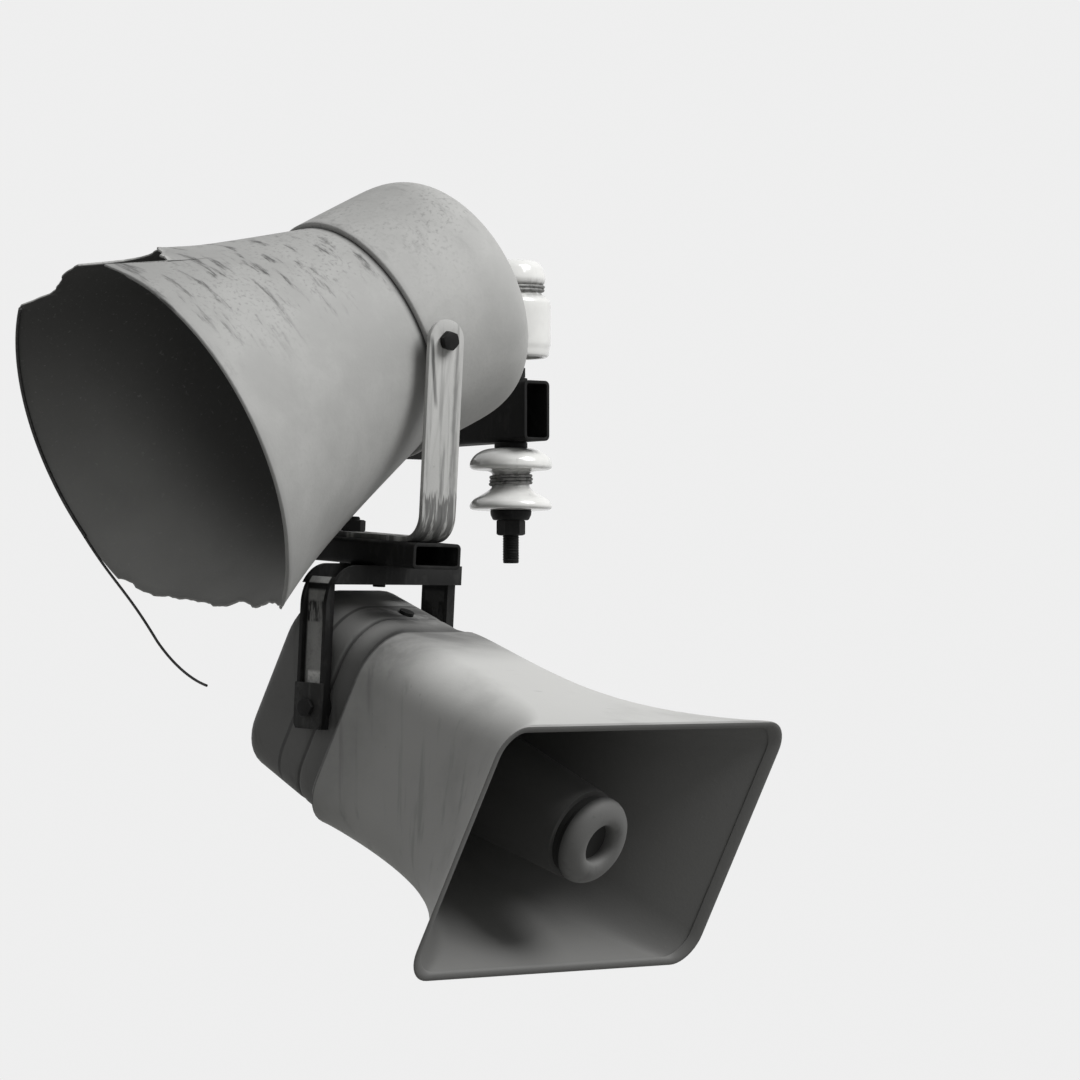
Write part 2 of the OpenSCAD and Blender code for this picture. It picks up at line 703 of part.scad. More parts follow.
module lower_plug() {
    plug_z = -7;
    color(steel_dark) on_lower_horn() translate([4, body_h_at(plug_z) / 2 - body_drop, plug_z])
        rotate([-90 - plug_lean, 0, 0]) cylinder(d = 14, h = 3);
}

// Pivot of the lower horn on one side: spacer, bolt and head outside the end plate
module lower_pivot(side) {
    start = body_w / 2;
    seat = yoke_leg_x + leg_depth + end_plate_t + bolt_fit;
    on_lower_horn() rotate([0, side * 90, 0]) {
        translate([0, 0, start]) cylinder(d = 28, h = yoke_leg_x - bolt_fit - start);
        translate([0, 0, start]) cylinder(d = bolt_d, h = seat - start);
        translate([0, 0, seat]) hex(nut_r - 1, 5);
    }
}

module lower_near_pivot() {
    color(steel_dark) lower_pivot(-1);
}

module lower_far_pivot() {
    color(steel_dark) lower_pivot(1);
}

wall_rail();
wall_plate();
lower_arm();
upper_arm();
insulator_pin();
pin_top_nut();
pin_collar();
bell_insulator();
bell_tie_wire();
spool_insulator();
spool_tie_wire();
spool_washer();
spool_nut();
upper_clamp_bolt();
lower_clamp_bolt();
upper_yoke();
upper_bell();
upper_near_rim();
upper_far_rim_wire();
upper_rear_cover();
upper_driver();
upper_near_pivot();
upper_far_pivot();
lower_yoke();
lower_near_end_plate();
lower_far_end_plate();
lower_flare();
lower_back_wall();
lower_centre_tube();
lower_ring_lip();
lower_middle_band();
lower_rear_cap();
lower_plug();
lower_near_pivot();
lower_far_pivot();
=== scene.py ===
"""Looks of a wall-mounted pair of warning loudspeakers: finishes, turned and torn shells, fasteners and wires."""

import logging
import math
from dataclasses import dataclass
from enum import Enum
from typing import Callable, Iterable, Sequence, Union

import bmesh
import bpy
import numpy as np
from mathutils import Matrix, Vector


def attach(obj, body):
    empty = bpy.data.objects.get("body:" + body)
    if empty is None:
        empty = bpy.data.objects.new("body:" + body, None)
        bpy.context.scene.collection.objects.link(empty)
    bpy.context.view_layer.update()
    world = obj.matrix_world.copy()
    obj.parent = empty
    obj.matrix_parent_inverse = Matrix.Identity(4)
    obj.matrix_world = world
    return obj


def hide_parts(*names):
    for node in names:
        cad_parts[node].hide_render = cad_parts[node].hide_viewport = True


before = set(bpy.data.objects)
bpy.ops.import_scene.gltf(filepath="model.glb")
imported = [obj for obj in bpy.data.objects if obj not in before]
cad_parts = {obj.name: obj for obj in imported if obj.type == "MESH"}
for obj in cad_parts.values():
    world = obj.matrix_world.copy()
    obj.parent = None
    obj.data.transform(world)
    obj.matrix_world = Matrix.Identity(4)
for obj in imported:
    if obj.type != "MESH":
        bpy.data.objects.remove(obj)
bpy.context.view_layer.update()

LOG = logging.getLogger("loudspeakers")
MM = 0.001
# Blue of every grey as a share of its red and green, which keeps the greys a little warm
BLUE_SHARE = 0.975

Number = Union[int, float, "Signal"]
Grey = float
Triple = tuple[float, float, float]
Pair = tuple[float, float]
# Where a band starts to rise, is full, starts to fall and ends
Band = tuple[float, float, float, float]
# Points of an outline: radius or turn first, height or distance second
Profile = Sequence[Pair]
Inputs = dict[str | int, object]
Socket = bpy.types.NodeSocket
Piece = bpy.types.Object
Material = bpy.types.Material


class Body(Enum):
    """The bodies of the frame that a piece can ride on."""

    BRACKET = "bracket"
    UPPER_YOKE = "upper_yoke_body"
    UPPER_HORN = "upper_horn"
    LOWER_YOKE = "lower_yoke_body"
    LOWER_HORN = "lower_horn"


class Slot(Enum):
    """The record's material slots."""

    DARK_STEEL = "dark_steel"
    STRAP = "galvanised_strap"
    BELL = "bell_paint"
    HORN = "horn_plastic"
    PORCELAIN = "porcelain"
    WIRE = "tie_wire"


class Edge(Enum):
    """How the sheet of the bell ends in one direction."""

    HEMMED = "rolled round the rim"
    TORN = "torn off"


def turn(axis: str, degrees: float) -> Matrix:
    """Returns the rotation about one axis by an angle in degrees."""
    return Matrix.Rotation(math.radians(degrees), 4, axis)


def shift(x: float, y: float, z: float) -> Matrix:
    """Returns the move by a distance in millimetres."""
    return Matrix.Translation((x, y, z))


# Places of the sub-assemblies, in millimetres and degrees, as the solids have them
UPPER_BOLT_Y, LOWER_BOLT_Y = -270.0, -316.0
ARM_HALF = 12.0
BOLT_R = 6.0
BELL_UP = 200.0
BELL_TURN = turn("Y", -115.8)
ARM_FRAME = turn("X", 4.5)
BELL_FRAME = ARM_FRAME @ shift(0, UPPER_BOLT_Y, BELL_UP) @ BELL_TURN
CHANNEL_FRAME = ARM_FRAME @ shift(0, LOWER_BOLT_Y, -ARM_HALF) @ turn("Z", 14)
HORN_FRAME = CHANNEL_FRAME @ shift(0, 0, -133) @ turn("X", 113.9)
TUBE_FRAME = HORN_FRAME @ shift(0, -5, 43) @ turn("X", -math.degrees(math.atan(20 / 259)))
PLUG_FRAME = HORN_FRAME @ shift(4.0, 93.5, -7.0)
PIN_FRAME = shift(215, -231, 0)


def operator(operation: str, swapped: bool = False) -> Callable[["Signal", Number], "Signal"]:
    """Makes an operator of Signal.

    Args:
        operation: the Math node's operation.
        swapped: whether the other number comes first, as in a reflected form.
    Returns:
        The method.
    """

    def method(self: "Signal", other: Number) -> "Signal":
        """Adds the Math node and returns its result."""
        return self.board.math(operation, *((other, self) if swapped else (self, other)))

    return method


@dataclass(frozen=True, eq=False)
class Signal:
    """A number socket that takes part in Python arithmetic: each operation adds a Math node to its tree."""

    board: "Board"
    socket: Socket

    __add__, __radd__ = operator("ADD"), operator("ADD", True)
    __sub__, __rsub__ = operator("SUBTRACT"), operator("SUBTRACT", True)
    __mul__, __rmul__ = operator("MULTIPLY"), operator("MULTIPLY", True)
    __truediv__, __pow__ = operator("DIVIDE"), operator("POWER")
    __gt__, __lt__ = operator("GREATER_THAN"), operator("LESS_THAN")

    def __abs__(self) -> "Signal":
        """Returns the size of the number without its sign."""
        return self.board.math("ABSOLUTE", self)

    def fade(self, low: float, high: float) -> "Signal":
        """Adds a soft step.

        Args:
            low: where it is 0; it may be the greater one.
            high: where it is 1.
        Returns:
            The step.
        """
        if low > high:
            return 1 - self.fade(high, low)
        return Signal(self.board, self.board.out(
            "ShaderNodeMapRange", {"Value": self, "From Min": low, "From Max": high},
            interpolation_type="SMOOTHSTEP"))

    def band(self, start: float, full: float, last: float, end: float) -> "Signal":
        """Returns 1 from full to last, with soft steps down to 0 at start and at end."""
        return self.fade(start, full) * self.fade(end, last)


class Board:
    """Adds nodes to one shader or geometry tree and links their sockets."""

    def __init__(self, tree: bpy.types.NodeTree) -> None:
        """Takes the node tree to fill."""
        self.tree = tree

    def node(self, kind: str, inputs: Inputs | None = None, **settings: object) -> bpy.types.Node:
        """Adds one node.

        Args:
            kind: the node's type name.
            inputs: values, sockets or signals by socket name or number.
            settings: the node's own settings, set first.
        Returns:
            The node.
        """
        made = self.tree.nodes.new(kind)
        for key, value in settings.items():
            setattr(made, key, value)
        for key, value in (inputs or {}).items():
            value = value.socket if isinstance(value, Signal) else value
            if isinstance(value, Socket):
                self.tree.links.new(value, made.inputs[key])
            else:
                made.inputs[key].default_value = value
        return made

    def out(self, kind: str, inputs: Inputs | None = None, **settings: object) -> Socket:
        """Adds one node, as node does, and returns its first output."""
        return self.node(kind, inputs, **settings).outputs[0]

    def math(self, operation: str, *values: Number) -> Signal:
        """Adds a Math node for one, two or three numbers or signals and returns its result."""
        return Signal(self, self.out("ShaderNodeMath", dict(enumerate(values)), operation=operation))

    def split(self, vector: Socket) -> tuple[Signal, Signal, Signal]:
        """Returns the three numbers of a vector socket."""
        return tuple(Signal(self, out) for out in self.node("ShaderNodeSeparateXYZ", {0: vector}).outputs)

    def join(self, x: Number, y: Number, z: Number) -> Socket:
        """Returns the vector socket of three numbers."""
        return self.out("ShaderNodeCombineXYZ", {0: x, 1: y, 2: z})


class Surface(Board):
    """Node tree of one material."""

    def __init__(self, name: str) -> None:
        """Makes an empty material.

        Args:
            name: the material's name.
        """
        self.material = bpy.data.materials.new(name)
        self.material.use_nodes = True
        super().__init__(self.material.node_tree)
        self.tree.nodes.clear()
        self._place = self.node("ShaderNodeTexCoord")

    @property
    def here(self) -> Socket:
        """The point on the piece, in metres."""
        return self._place.outputs["Object"]

    @property
    def up(self) -> Signal:
        """How far the surface faces up, from -1 to 1."""
        return self.split(self._place.outputs["Normal"])[2]

    def seen_from(self, place: Matrix) -> tuple[Signal, Signal, Signal]:
        """Reads the point on the piece in another frame.

        Args:
            place: the frame, in millimetres.
        Returns:
            The three numbers of the point in it, in metres.
        """
        back = place.inverted()
        return self.split(self.out("ShaderNodeMapping", {
            "Vector": self.here, "Location": back.to_translation() * MM, "Rotation": back.to_euler()}))

    def stored(self, name: str) -> Signal:
        """Returns a number that the piece's mesh stores."""
        return Signal(self, self.node("ShaderNodeAttribute", attribute_name=name).outputs["Fac"])

    def mottle(self, scale: float, stretch: Triple = (1, 1, 1), detail: float = 4, rough: float = 0.55,
               point: Socket | None = None) -> Signal:
        """Adds a noise pattern.

        Args:
            scale: blobs to a metre, roughly.
            stretch: factors along the three axes; a small one draws the pattern out.
            detail: number of finer layers.
            rough: share of each finer layer.
            point: where the pattern is read; the point on the piece unless given.
        Returns:
            The noise, about 0.5 on average.
        """
        moved = self.out("ShaderNodeMapping", {"Vector": point or self.here, "Scale": stretch})
        return Signal(self, self.out("ShaderNodeTexNoise", {
            "Vector": moved, "Scale": scale, "Detail": detail, "Roughness": rough}))

    def coated(self, base: object, *coats: tuple[Number, object]) -> Socket:
        """Lays coats of colour over a base, one on the other.

        Args:
            base: a grey or a colour socket.
            coats: the share that each coat covers, and its grey or colour socket.
        Returns:
            The colour socket.
        """
        for share, coat in coats:
            mix = self.node("ShaderNodeMix", {0: share, 6: self._colour(base), 7: self._colour(coat)},
                            data_type="RGBA", clamp_factor=True)
            base = mix.outputs[2]
        return base

    @staticmethod
    def _colour(value: object) -> object:
        """Returns a grey as four numbers, and a socket as it is."""
        return (value, value, value * BLUE_SHARE, 1) if isinstance(value, (int, float)) else value

    def close(self, colour: Socket, rough: Number, relief: tuple[Signal, float, float], specular: float = 0.5,
              metallic: float = 0.0, coat: float = 0.0) -> Material:
        """Ends the tree in one surface shader.

        Args:
            colour: the base colour.
            rough: roughness.
            relief: height signal, share of it that is used, and height of a full step in metres.
            specular: strength of the plain reflection.
            metallic: how metallic it is.
            coat: weight of a clear glaze.
        Returns:
            The finished material.
        """
        height, strength, depth = relief
        normal = self.out("ShaderNodeBump", {"Height": height, "Strength": strength, "Distance": depth})
        shader = self.out("ShaderNodeBsdfPrincipled", {
            "Base Color": colour, "Roughness": rough, "Metallic": metallic, "Specular IOR Level": specular,
            "Coat Weight": coat, "Coat Roughness": 0.08, "Normal": normal})
        self.node("ShaderNodeOutputMaterial", {0: shader})
        return self.material


@dataclass(frozen=True)
class Finish:
    """Base of every finish: a procedural material that is built once."""

    name: str
    slot: Slot

    def material(self) -> Material:
        """Returns the finish's material, built on the first call."""
        return bpy.data.materials.get(self.name) or self.build(Surface(self.name))

    def build(self, surface: Surface) -> Material:
        """Fills the empty tree of the material and returns the material; each finish has its own way."""
        raise NotImplementedError


@dataclass(frozen=True)
class WeatheredSteel(Finish):
    """Old black paint on steel, with dust on what faces up and dull rusty patches."""

    paint: Grey = 0.006
    rust: Grey = 0.022
    dust: Grey = 0.07
    dusty: float = 0.35

    def worn(self, surface: Surface) -> tuple[Socket, Signal, Signal]:
        """Adds the paint with its rust and dust.

        Args:
            surface: the tree.
        Returns:
            The colour, the rusty patches and the fine grain.
        """
        patches = surface.mottle(34, (1, 1, 0.6), 6, 0.65)
        grain = surface.mottle(420, detail=3)
        streaks = surface.mottle(90, (1, 1, 0.12), 4)
        settled = surface.up.fade(0.3, 0.95) * (patches * 0.6 + grain * 0.7).fade(0.45, 0.85)
        colour = surface.coated(
            self.paint,
            (patches.fade(0.5, 0.68), self.rust),
            (streaks.fade(0.56, 0.72) * 0.4, self.rust * 1.6),
            (settled * self.dusty, self.dust))
        return colour, patches, grain

    @staticmethod
    def ended(surface: Surface, colour: Socket, patches: Signal, grain: Signal) -> Material:
        """Closes the tree, rough and uneven where its patches and its grain are."""
        return surface.close(colour, 0.45 + 0.35 * patches, (grain * 0.4 + patches * 0.6, 0.5, 0.0006), specular=0.16)

    def build(self, surface: Surface) -> Material:
        """See Finish.build."""
        return self.ended(surface, *self.worn(surface))


@dataclass(frozen=True)
class WornChannel(WeatheredSteel):
    """Black channel whose sunk webs keep a paler, dusty coat, crossed by a band of painted shadow under the web's
    end, with the far leg's web left dark as painted shade and a painted highlight above the near end plate.
    """

    web: Grey = 0.38
    # Painted highlight: grey of the bright patch above the near end plate
    bare: Grey = 0.85
    web_x: Band = (0.080, 0.081, 0.0862, 0.0868)
    web_y: Pair = (0.0126, 0.0110)
    # Painted shadow: band across the near leg under the web's end, left free of the pale coat
    web_shadow_z: Band = (-0.026, -0.022, -0.0185, -0.0165)
    # Painted shade: where the far leg's web, kept dark, gives way to the near leg's pale coat
    far_leg_shade_x: Pair = (0.0, -0.02)
    smudge_z: Band = (-0.055, -0.052, -0.036, -0.032)
    # Where the painted highlight lies, in the channel's frame
    highlight_x: Pair = (-0.07, -0.08)
    highlight_y: Pair = (0.0098, 0.0078)
    highlight_z: Band = (-0.111, -0.110, -0.101, -0.0975)

    def build(self, surface: Surface) -> Material:
        """See Finish.build."""
        colour, patches, grain = self.worn(surface)
        x, y, z = surface.seen_from(CHANNEL_FRAME)
        # The pale coat leaves out the painted shadow band under the web's end
        sunk = abs(x).band(*self.web_x) * abs(y).fade(*self.web_y) * (1 - z.band(*self.web_shadow_z))
        # Painted shade: the far leg keeps little of the pale coat
        sunk = sunk * (0.15 + 0.85 * x.fade(*self.far_leg_shade_x))
        runs = surface.mottle(260, (1, 1, 0.2), 4, 0.6)
        coat = surface.coated(
            self.web,
            ((patches * 0.7 + grain * 0.3).fade(0.42, 0.7), self.web * 0.6),
            (z.band(*self.smudge_z) * runs.fade(0.38, 0.58), self.rust * 1.5))
        # Painted highlight above the near end plate, a little patchy
        spot = z.band(*self.highlight_z) * abs(y).fade(*self.highlight_y) * x.fade(*self.highlight_x)
        spot = spot * (0.55 + 0.45 * grain.fade(0.3, 0.6))
        return self.ended(surface, surface.coated(colour, (sunk, coat), (sunk * spot, self.bare)), patches, grain)


@dataclass(frozen=True)
class FadedStrap(Finish):
    """Pale weathered paint on flat bar, with run-down streaks, a rust stain under the pivot bolt and a patchy band of
    painted shade near its right edge.
    """

    paint: Grey = 0.50
    streak: Grey = 0.19
    stain: Grey = 0.07
    low_z: Pair = (0.10, 0.015)
    worn_z: Pair = (0.027, 0.021)
    # Painted shade: band near the right edge, standing in for the shade of the strap's rounded side
    right_edge_shade_x: Band = (0.0085, 0.0125, 0.0145, 0.0185)
    stain_x: float = -0.0175
    stain_z: float = 0.170
    stain_half: float = 0.0026
    stain_drop: Band = (-0.004, 0.004, 0.058, 0.068)

    def build(self, surface: Surface) -> Material:
        """See Finish.build."""
        x, _, z = surface.split(surface.here)
        runs = surface.mottle(150, (1, 0.35, 0.045), 5, 0.6)
        spots = surface.mottle(60, detail=6, rough=0.7)
        grain = surface.mottle(700, detail=2)
        wander = (surface.mottle(40, (0, 0, 1), 2) - 0.5) * 0.006
        worn = (z + (runs - 0.5) * 0.09).fade(*self.worn_z) * runs.fade(0.40, 0.50)
        drop = self.stain_z - z
        lean = x - self.stain_x - drop * 0.13 + wander * 0.3
        stained = (self.stain_half - drop * 0.006 - abs(lean)).fade(-0.0006, 0.0016)
        stained = stained * drop.band(*self.stain_drop)
        colour = surface.coated(
            self.paint,
            (runs.fade(0.5, 0.66) * (0.45 + 0.5 * z.fade(*self.low_z)), self.streak),
            (spots.fade(0.62, 0.74) * 0.35, self.streak),
            (worn * 0.8, self.stain),
            # Painted shade near the right edge
            ((x + wander).band(*self.right_edge_shade_x) * runs.fade(0.35, 0.55) * 0.75, self.streak * 0.8),
            (stained * (0.55 + 0.45 * runs.fade(0.35, 0.6)), self.stain))
        return surface.close(colour, 0.55 + 0.3 * spots, (grain * 0.3 + spots * 0.7, 0.45, 0.0007), specular=0.35)


@dataclass(frozen=True)
class BellPaint(Finish):
    """Chalky grey enamel on spun sheet: soft mottling, rain-washed dirt round the top, a dark band from the rear seam
    that is painted shadow of the cover's step and partly grime, and a scuffed torn edge.
    """

    paint: Grey = 0.385
    dirt: Grey = 0.08
    scuff: Grey = 0.52
    runs: float = 1.0
    # Where the painted shadow of the cover's step, with grime, fades out along the bell from the seam
    seam: Pair = (19.0, 10.5)
    top: Band = (-75, -35, 10, 40)
    torn: Pair = (5.0, 1.0)

    def build(self, surface: Surface) -> Material:
        """See Finish.build."""
        around, along = surface.stored("around"), surface.stored("along")
        cloud = surface.mottle(14, detail=5, rough=0.6)
        wash = surface.mottle(5, detail=3)
        grain = surface.mottle(260, detail=4)
        path = surface.join(around * 0.055, along * 0.075, 0.0)
        runs = surface.mottle(1.0, detail=4, rough=0.6, point=path)
        fine = surface.mottle(3.1, (0.8, 1.3, 1), 6, 0.75, point=path)
        top = around.band(*self.top)
        specks = grain.fade(0.50, 0.72) * cloud.fade(0.40, 0.60)
        smears = runs.fade(0.52, 0.66) * fine.fade(0.34, 0.58) * top
        colour = surface.coated(
            self.paint * 0.88,
            (cloud.fade(0.3, 0.75), self.paint * 1.07),
            (wash.fade(0.45, 0.7) * 0.22, self.paint * 0.6),
            (specks * (0.08 + 0.38 * top), self.dirt * 1.4),
            (smears * 0.95 * self.runs, self.dirt),
            # Painted shadow of the cover's step along the seam, with grime
            (along.fade(*self.seam) * (0.55 + 0.4 * fine), self.dirt * 0.3),
            (surface.stored("edge").fade(*self.torn) * grain.fade(0.3, 0.6), self.scuff))
        return surface.close(colour, 0.52 + 0.25 * cloud, (cloud * 0.7 + grain * 0.3, 0.35, 0.0012), specular=0.3)


@dataclass(frozen=True)
class BellInside(Finish):
    """Dark inside of the bell whose paint stands in partly for shade: paler towards its lower side and its rim as
    painted light and dust, darker deep inside as painted shade, and scuffed along the torn edge.
    """

    paint: Grey = 0.11
    dust: Grey = 0.46
    scuff: Grey = 0.42
    # Painted light and shade: paler towards the lower side and the rim, darker deep inside; partly dust
    low: Pair = (40, 150)
    rim: Pair = (100, 205)
    torn: Pair = (4.5, 0.5)

    def build(self, surface: Surface) -> Material:
        """See Finish.build."""
        cloud = surface.mottle(9, detail=5, rough=0.6)
        grain = surface.mottle(300, detail=4)
        low = abs(surface.stored("around")).fade(*self.low)
        rim = surface.stored("along").fade(*self.rim)
        colour = surface.coated(
            self.paint,
            # Paler lower side towards the rim: painted light and dust
            (low * (0.05 + 0.95 * rim) * (0.6 + 0.5 * cloud), self.dust),
            (grain.fade(0.6, 0.8) * 0.3, self.dust * 1.3),
            (surface.stored("edge").fade(*self.torn) * cloud.fade(0.42, 0.6), self.scuff))
        return surface.close(colour, 0.6 + 0.2 * grain, (cloud * 0.6 + grain * 0.4, 0.3, 0.001), specular=0.1)


@dataclass(frozen=True)
class HornShell(Finish):
    """Moulded shell: paler above, partly from sun bleaching and dust and partly as painted light, darker towards its
    rear seam, with painted shade along the mouth's lip, a dirty ring round the plug, dark lines and fine scratches.
    """

    paint: Grey = 0.45
    # Grey of what faces up: partly sun bleaching and dust, partly painted light from above
    bleach_and_lit_top: Grey = 0.54
    dirt: Grey = 0.12
    # How strongly it darkens towards the rear seam, and round the plug
    darkening: float = 0.9
    darkening_from: Pair = (120.0, 42.0)
    # Where the painted shade along the mouth's lip starts and is full
    lip: Pair = (293, 300)
    plug: Pair = (0.034, 0.009)
    # Distances of dark lines round the shell: seam lines, and on the rear cap a painted shade crease
    lines: tuple[float, ...] = ()
    line_width: Pair = (2.6, 0.9)

    def build(self, surface: Surface) -> Material:
        """See Finish.build."""
        up, along = surface.up, surface.stored("along")
        cloud = surface.mottle(11, detail=5, rough=0.6)
        grain = surface.mottle(380, detail=3)
        runs = surface.mottle(70, (1, 1, 0.06), 4, 0.6)
        scratch = surface.mottle(190, (0.1, 1, 0.5), 3, 0.7)
        streak = surface.mottle(42, (0.35, 1, 1), 5, 0.65)
        # Darker towards the rear seam, more on what faces up; on the rear shell and the ring lip this is painted
        # shade, set with their finishes below
        darkened = along.fade(*self.darkening_from) * (0.35 + 0.65 * up.fade(0.1, 0.7))
        darkened = darkened * (0.7 + 0.3 * streak.fade(0.3, 0.7))
        x, y, z = surface.seen_from(PLUG_FRAME)
        reach = surface.math("SQRT", x * x * 0.25 + z * z + y * y)
        ring = reach.fade(*self.plug) * streak.fade(0.34, 0.52)
        colour = surface.coated(
            self.paint,
            # Paler above: partly bleaching and dust, partly painted light
            (up.fade(0.0, 0.8) * (0.75 + 0.5 * cloud), self.bleach_and_lit_top),
            (cloud.fade(0.5, 0.8) * 0.3, self.dirt * 1.8),
            (runs.fade(0.54, 0.7) * up.fade(0.55, 0.2) * 0.3, self.dirt),
            (scratch.fade(0.68, 0.76) * 0.3, self.dirt),
            (darkened * self.darkening, self.dirt * 0.4),
            # Painted shade along the mouth's lip
            (along.fade(*self.lip) * (0.3 + 0.4 * cloud), self.dirt),
            (ring * self.darkening * 0.85, self.dirt * 0.35),
            # Dark lines round the shell, partly painted shade
            *((abs(along - line).fade(*self.line_width) * (0.35 + 0.45 * streak), self.dirt * 0.12)
              for line in self.lines))
        return surface.close(colour, 0.5 + 0.22 * cloud, (grain * 0.5 + cloud * 0.5, 0.3, 0.0006), specular=0.3)


@dataclass(frozen=True)
class HornInside(Finish):
    """Shaded inside of a horn, with dust lying on what faces up."""

    paint: Grey = 0.15
    dust: Grey = 0.22

    def build(self, surface: Surface) -> Material:
        """See Finish.build."""
        cloud = surface.mottle(13, detail=5, rough=0.6)
        grain = surface.mottle(320, detail=3)
        colour = surface.coated(
            self.paint,
            (surface.up.fade(0.1, 0.9) * (0.7 + 0.5 * cloud), self.dust),
            (grain.fade(0.6, 0.8) * 0.2, self.dust))
        return surface.close(colour, 0.55 + 0.25 * cloud, (grain, 0.25, 0.0005), specular=0.12)


@dataclass(frozen=True)
class Glaze(Finish):
    """White porcelain glaze with grime in the waist and a few rain marks."""

    white: Grey = 0.80
    grime: Grey = 0.20

    def build(self, surface: Surface) -> Material:
        """See Finish.build."""
        hollow = surface.stored("waist")
        cloud = surface.mottle(45, detail=4)
        runs = surface.mottle(170, (1, 1, 0.12), 4, 0.6)
        colour = surface.coated(
            self.white,
            (cloud.fade(0.35, 0.75) * 0.5, self.white * 0.84),
            (hollow * (0.35 + 0.65 * runs.fade(0.4, 0.62)), self.grime),
            (runs.fade(0.62, 0.75) * 0.3, self.grime * 1.6))
        return surface.close(colour, 0.16 + 0.3 * hollow, (cloud, 0.12, 0.0006), coat=0.35)


@dataclass(frozen=True)
class DullWire(Finish):
    """Weathered bare wire."""

    metal: Grey = 0.22
    stain: Grey = 0.10

    def build(self, surface: Surface) -> Material:
        """See Finish.build."""
        spots = surface.mottle(240, detail=4)
        colour = surface.coated(self.metal, (spots.fade(0.45, 0.62), self.stain))
        return surface.close(colour, 0.45 + 0.35 * spots, (spots, 0.3, 0.0003), metallic=0.45)


STEEL = WeatheredSteel("weathered black steel", Slot.DARK_STEEL)
# Painted highlight: the end plates' paler paint and dust stand in partly for a highlight along their edges
PLATE_STEEL = WeatheredSteel("plate steel with painted highlight", Slot.DARK_STEEL, paint=0.022, rust=0.06, dust=0.16)
CHANNEL_STEEL = WornChannel("worn channel steel", Slot.DARK_STEEL)
STRAP = FadedStrap("faded strap paint", Slot.STRAP)
BELL = BellPaint("chalky bell enamel", Slot.BELL)
COVER = BellPaint("smooth cover enamel", Slot.BELL, paint=0.45, runs=0.25, seam=(200.0, 300.0))
INSIDE = BellInside("bell inside with painted shade", Slot.BELL)
# Painted shade: the near-black driver front stands in partly for the shade deep in the bell's throat
BAFFLE = HornInside("sooty driver front", Slot.BELL, paint=0.03, dust=0.05)
# The dark line at 37.5 is painted shade in the groove of the flare's seam
SHELL = HornShell("horn shell, bleached and painted lighter on top", Slot.HORN, darkening=0.8, lines=(37.5,))
# Painted shade: the dark paint stands in partly for the shadow of the bell and arm above, partly grime; it darkens
# towards the seam as painted shadow behind the seam step, and the line at -24 is a painted shade crease on the cap's
# side, the one at 3 its rear seam
REAR_SHELL = HornShell("rear shell with painted shade and grime", Slot.HORN, paint=0.15, bleach_and_lit_top=0.22, dirt=0.05,
                       darkening_from=(10.0, 34.0), lines=(-24.0, 3.0))
HOLLOW = HornInside("shaded horn inside", Slot.HORN)
TUBE = HornInside("dark centre tube", Slot.HORN, paint=0.09, dust=0.13)
RECESS = HornInside("dark ring recess", Slot.HORN, paint=0.03, dust=0.04)
# Painted shade: the nose darkens towards its back, where it turns from the light
NOSE = HornShell("ring lip with painted shade", Slot.HORN, paint=0.14, bleach_and_lit_top=0.18, dirt=0.05, darkening_from=(253.0, 244.0))
PORCELAIN = Glaze("white porcelain glaze", Slot.PORCELAIN)
WIRE = DullWire("dull tie wire", Slot.WIRE)
# Painted shade: the rim wire's near-black stands in partly for the shade of the far rim
RIM_WIRE = DullWire("dark rim wire", Slot.BELL, metal=0.05, stain=0.03)


def bare_mesh(name: str, points: Iterable[Sequence[float]], faces: Iterable[Sequence[int]] = (),
              edges: Sequence[tuple[int, int]] = ()) -> Piece:
    """Makes a linked object from points in millimetres.

    Args:
        name: the piece's name.
        points: its points.
        faces: point numbers of each face.
        edges: point numbers of each edge that no face has.
    Returns:
        The object, still in millimetres.
    """
    mesh = bpy.data.meshes.new(name)
    mesh.from_pydata([tuple(map(float, p)) for p in points], edges, [tuple(map(int, f)) for f in faces])
    return linked(name, mesh)


def linked(name: str, mesh: bpy.types.Mesh) -> Piece:
    """Returns a new object of the scene with that mesh."""
    piece = bpy.data.objects.new(name, mesh)
    bpy.context.scene.collection.objects.link(piece)
    return piece


def open_line(name: str, points: Sequence[Sequence[float]]) -> Piece:
    """Makes the line that a tree turns, lofts or follows.

    Args:
        name: the piece's name.
        points: its points in millimetres, each of X, Y and Z, or of X and Z for an outline.
    Returns:
        The object.
    """
    places = [p if len(p) == 3 else (p[0], 0.0, p[1]) for p in points]
    return bare_mesh(name, places, edges=[(i, i + 1) for i in range(len(places) - 1)])


def placed(piece: Piece, place: Matrix, sharp: float = 35) -> Piece:
    """Puts a piece's place into its mesh, in metres, turns its faces outwards and shades it smooth.

    Args:
        piece: a piece whose mesh is in millimetres.
        place: its frame, in millimetres.
        sharp: edges bent by more than this angle in degrees stay sharp.
    Returns:
        The piece.
    """
    work = bmesh.new()
    work.from_mesh(piece.data)
    bmesh.ops.remove_doubles(work, verts=work.verts, dist=0.002)
    work.transform(Matrix.Scale(MM, 4) @ place)
    if work.calc_volume(signed=True) < 0:
        bmesh.ops.reverse_faces(work, faces=work.faces)
    work.to_mesh(piece.data)
    work.free()
    shade_soft(piece, sharp)
    return piece


def shade_soft(piece: Piece, sharp: float) -> None:
    """Shades a mesh smooth apart from edges bent by more than an angle in degrees."""
    piece.data.polygons.foreach_set("use_smooth", [True] * len(piece.data.polygons))
    piece.data.set_sharp_from_angle(angle=math.radians(sharp))
    piece.data.update()


def store(piece: Piece, name: str, values: Sequence[float], domain: str = "POINT") -> None:
    """Stores a number at each point, or each corner, of a mesh, for the finish to read."""
    made = piece.data.attributes.new(name, "FLOAT", domain)
    made.data.foreach_set("value", np.asarray(values, np.float32))


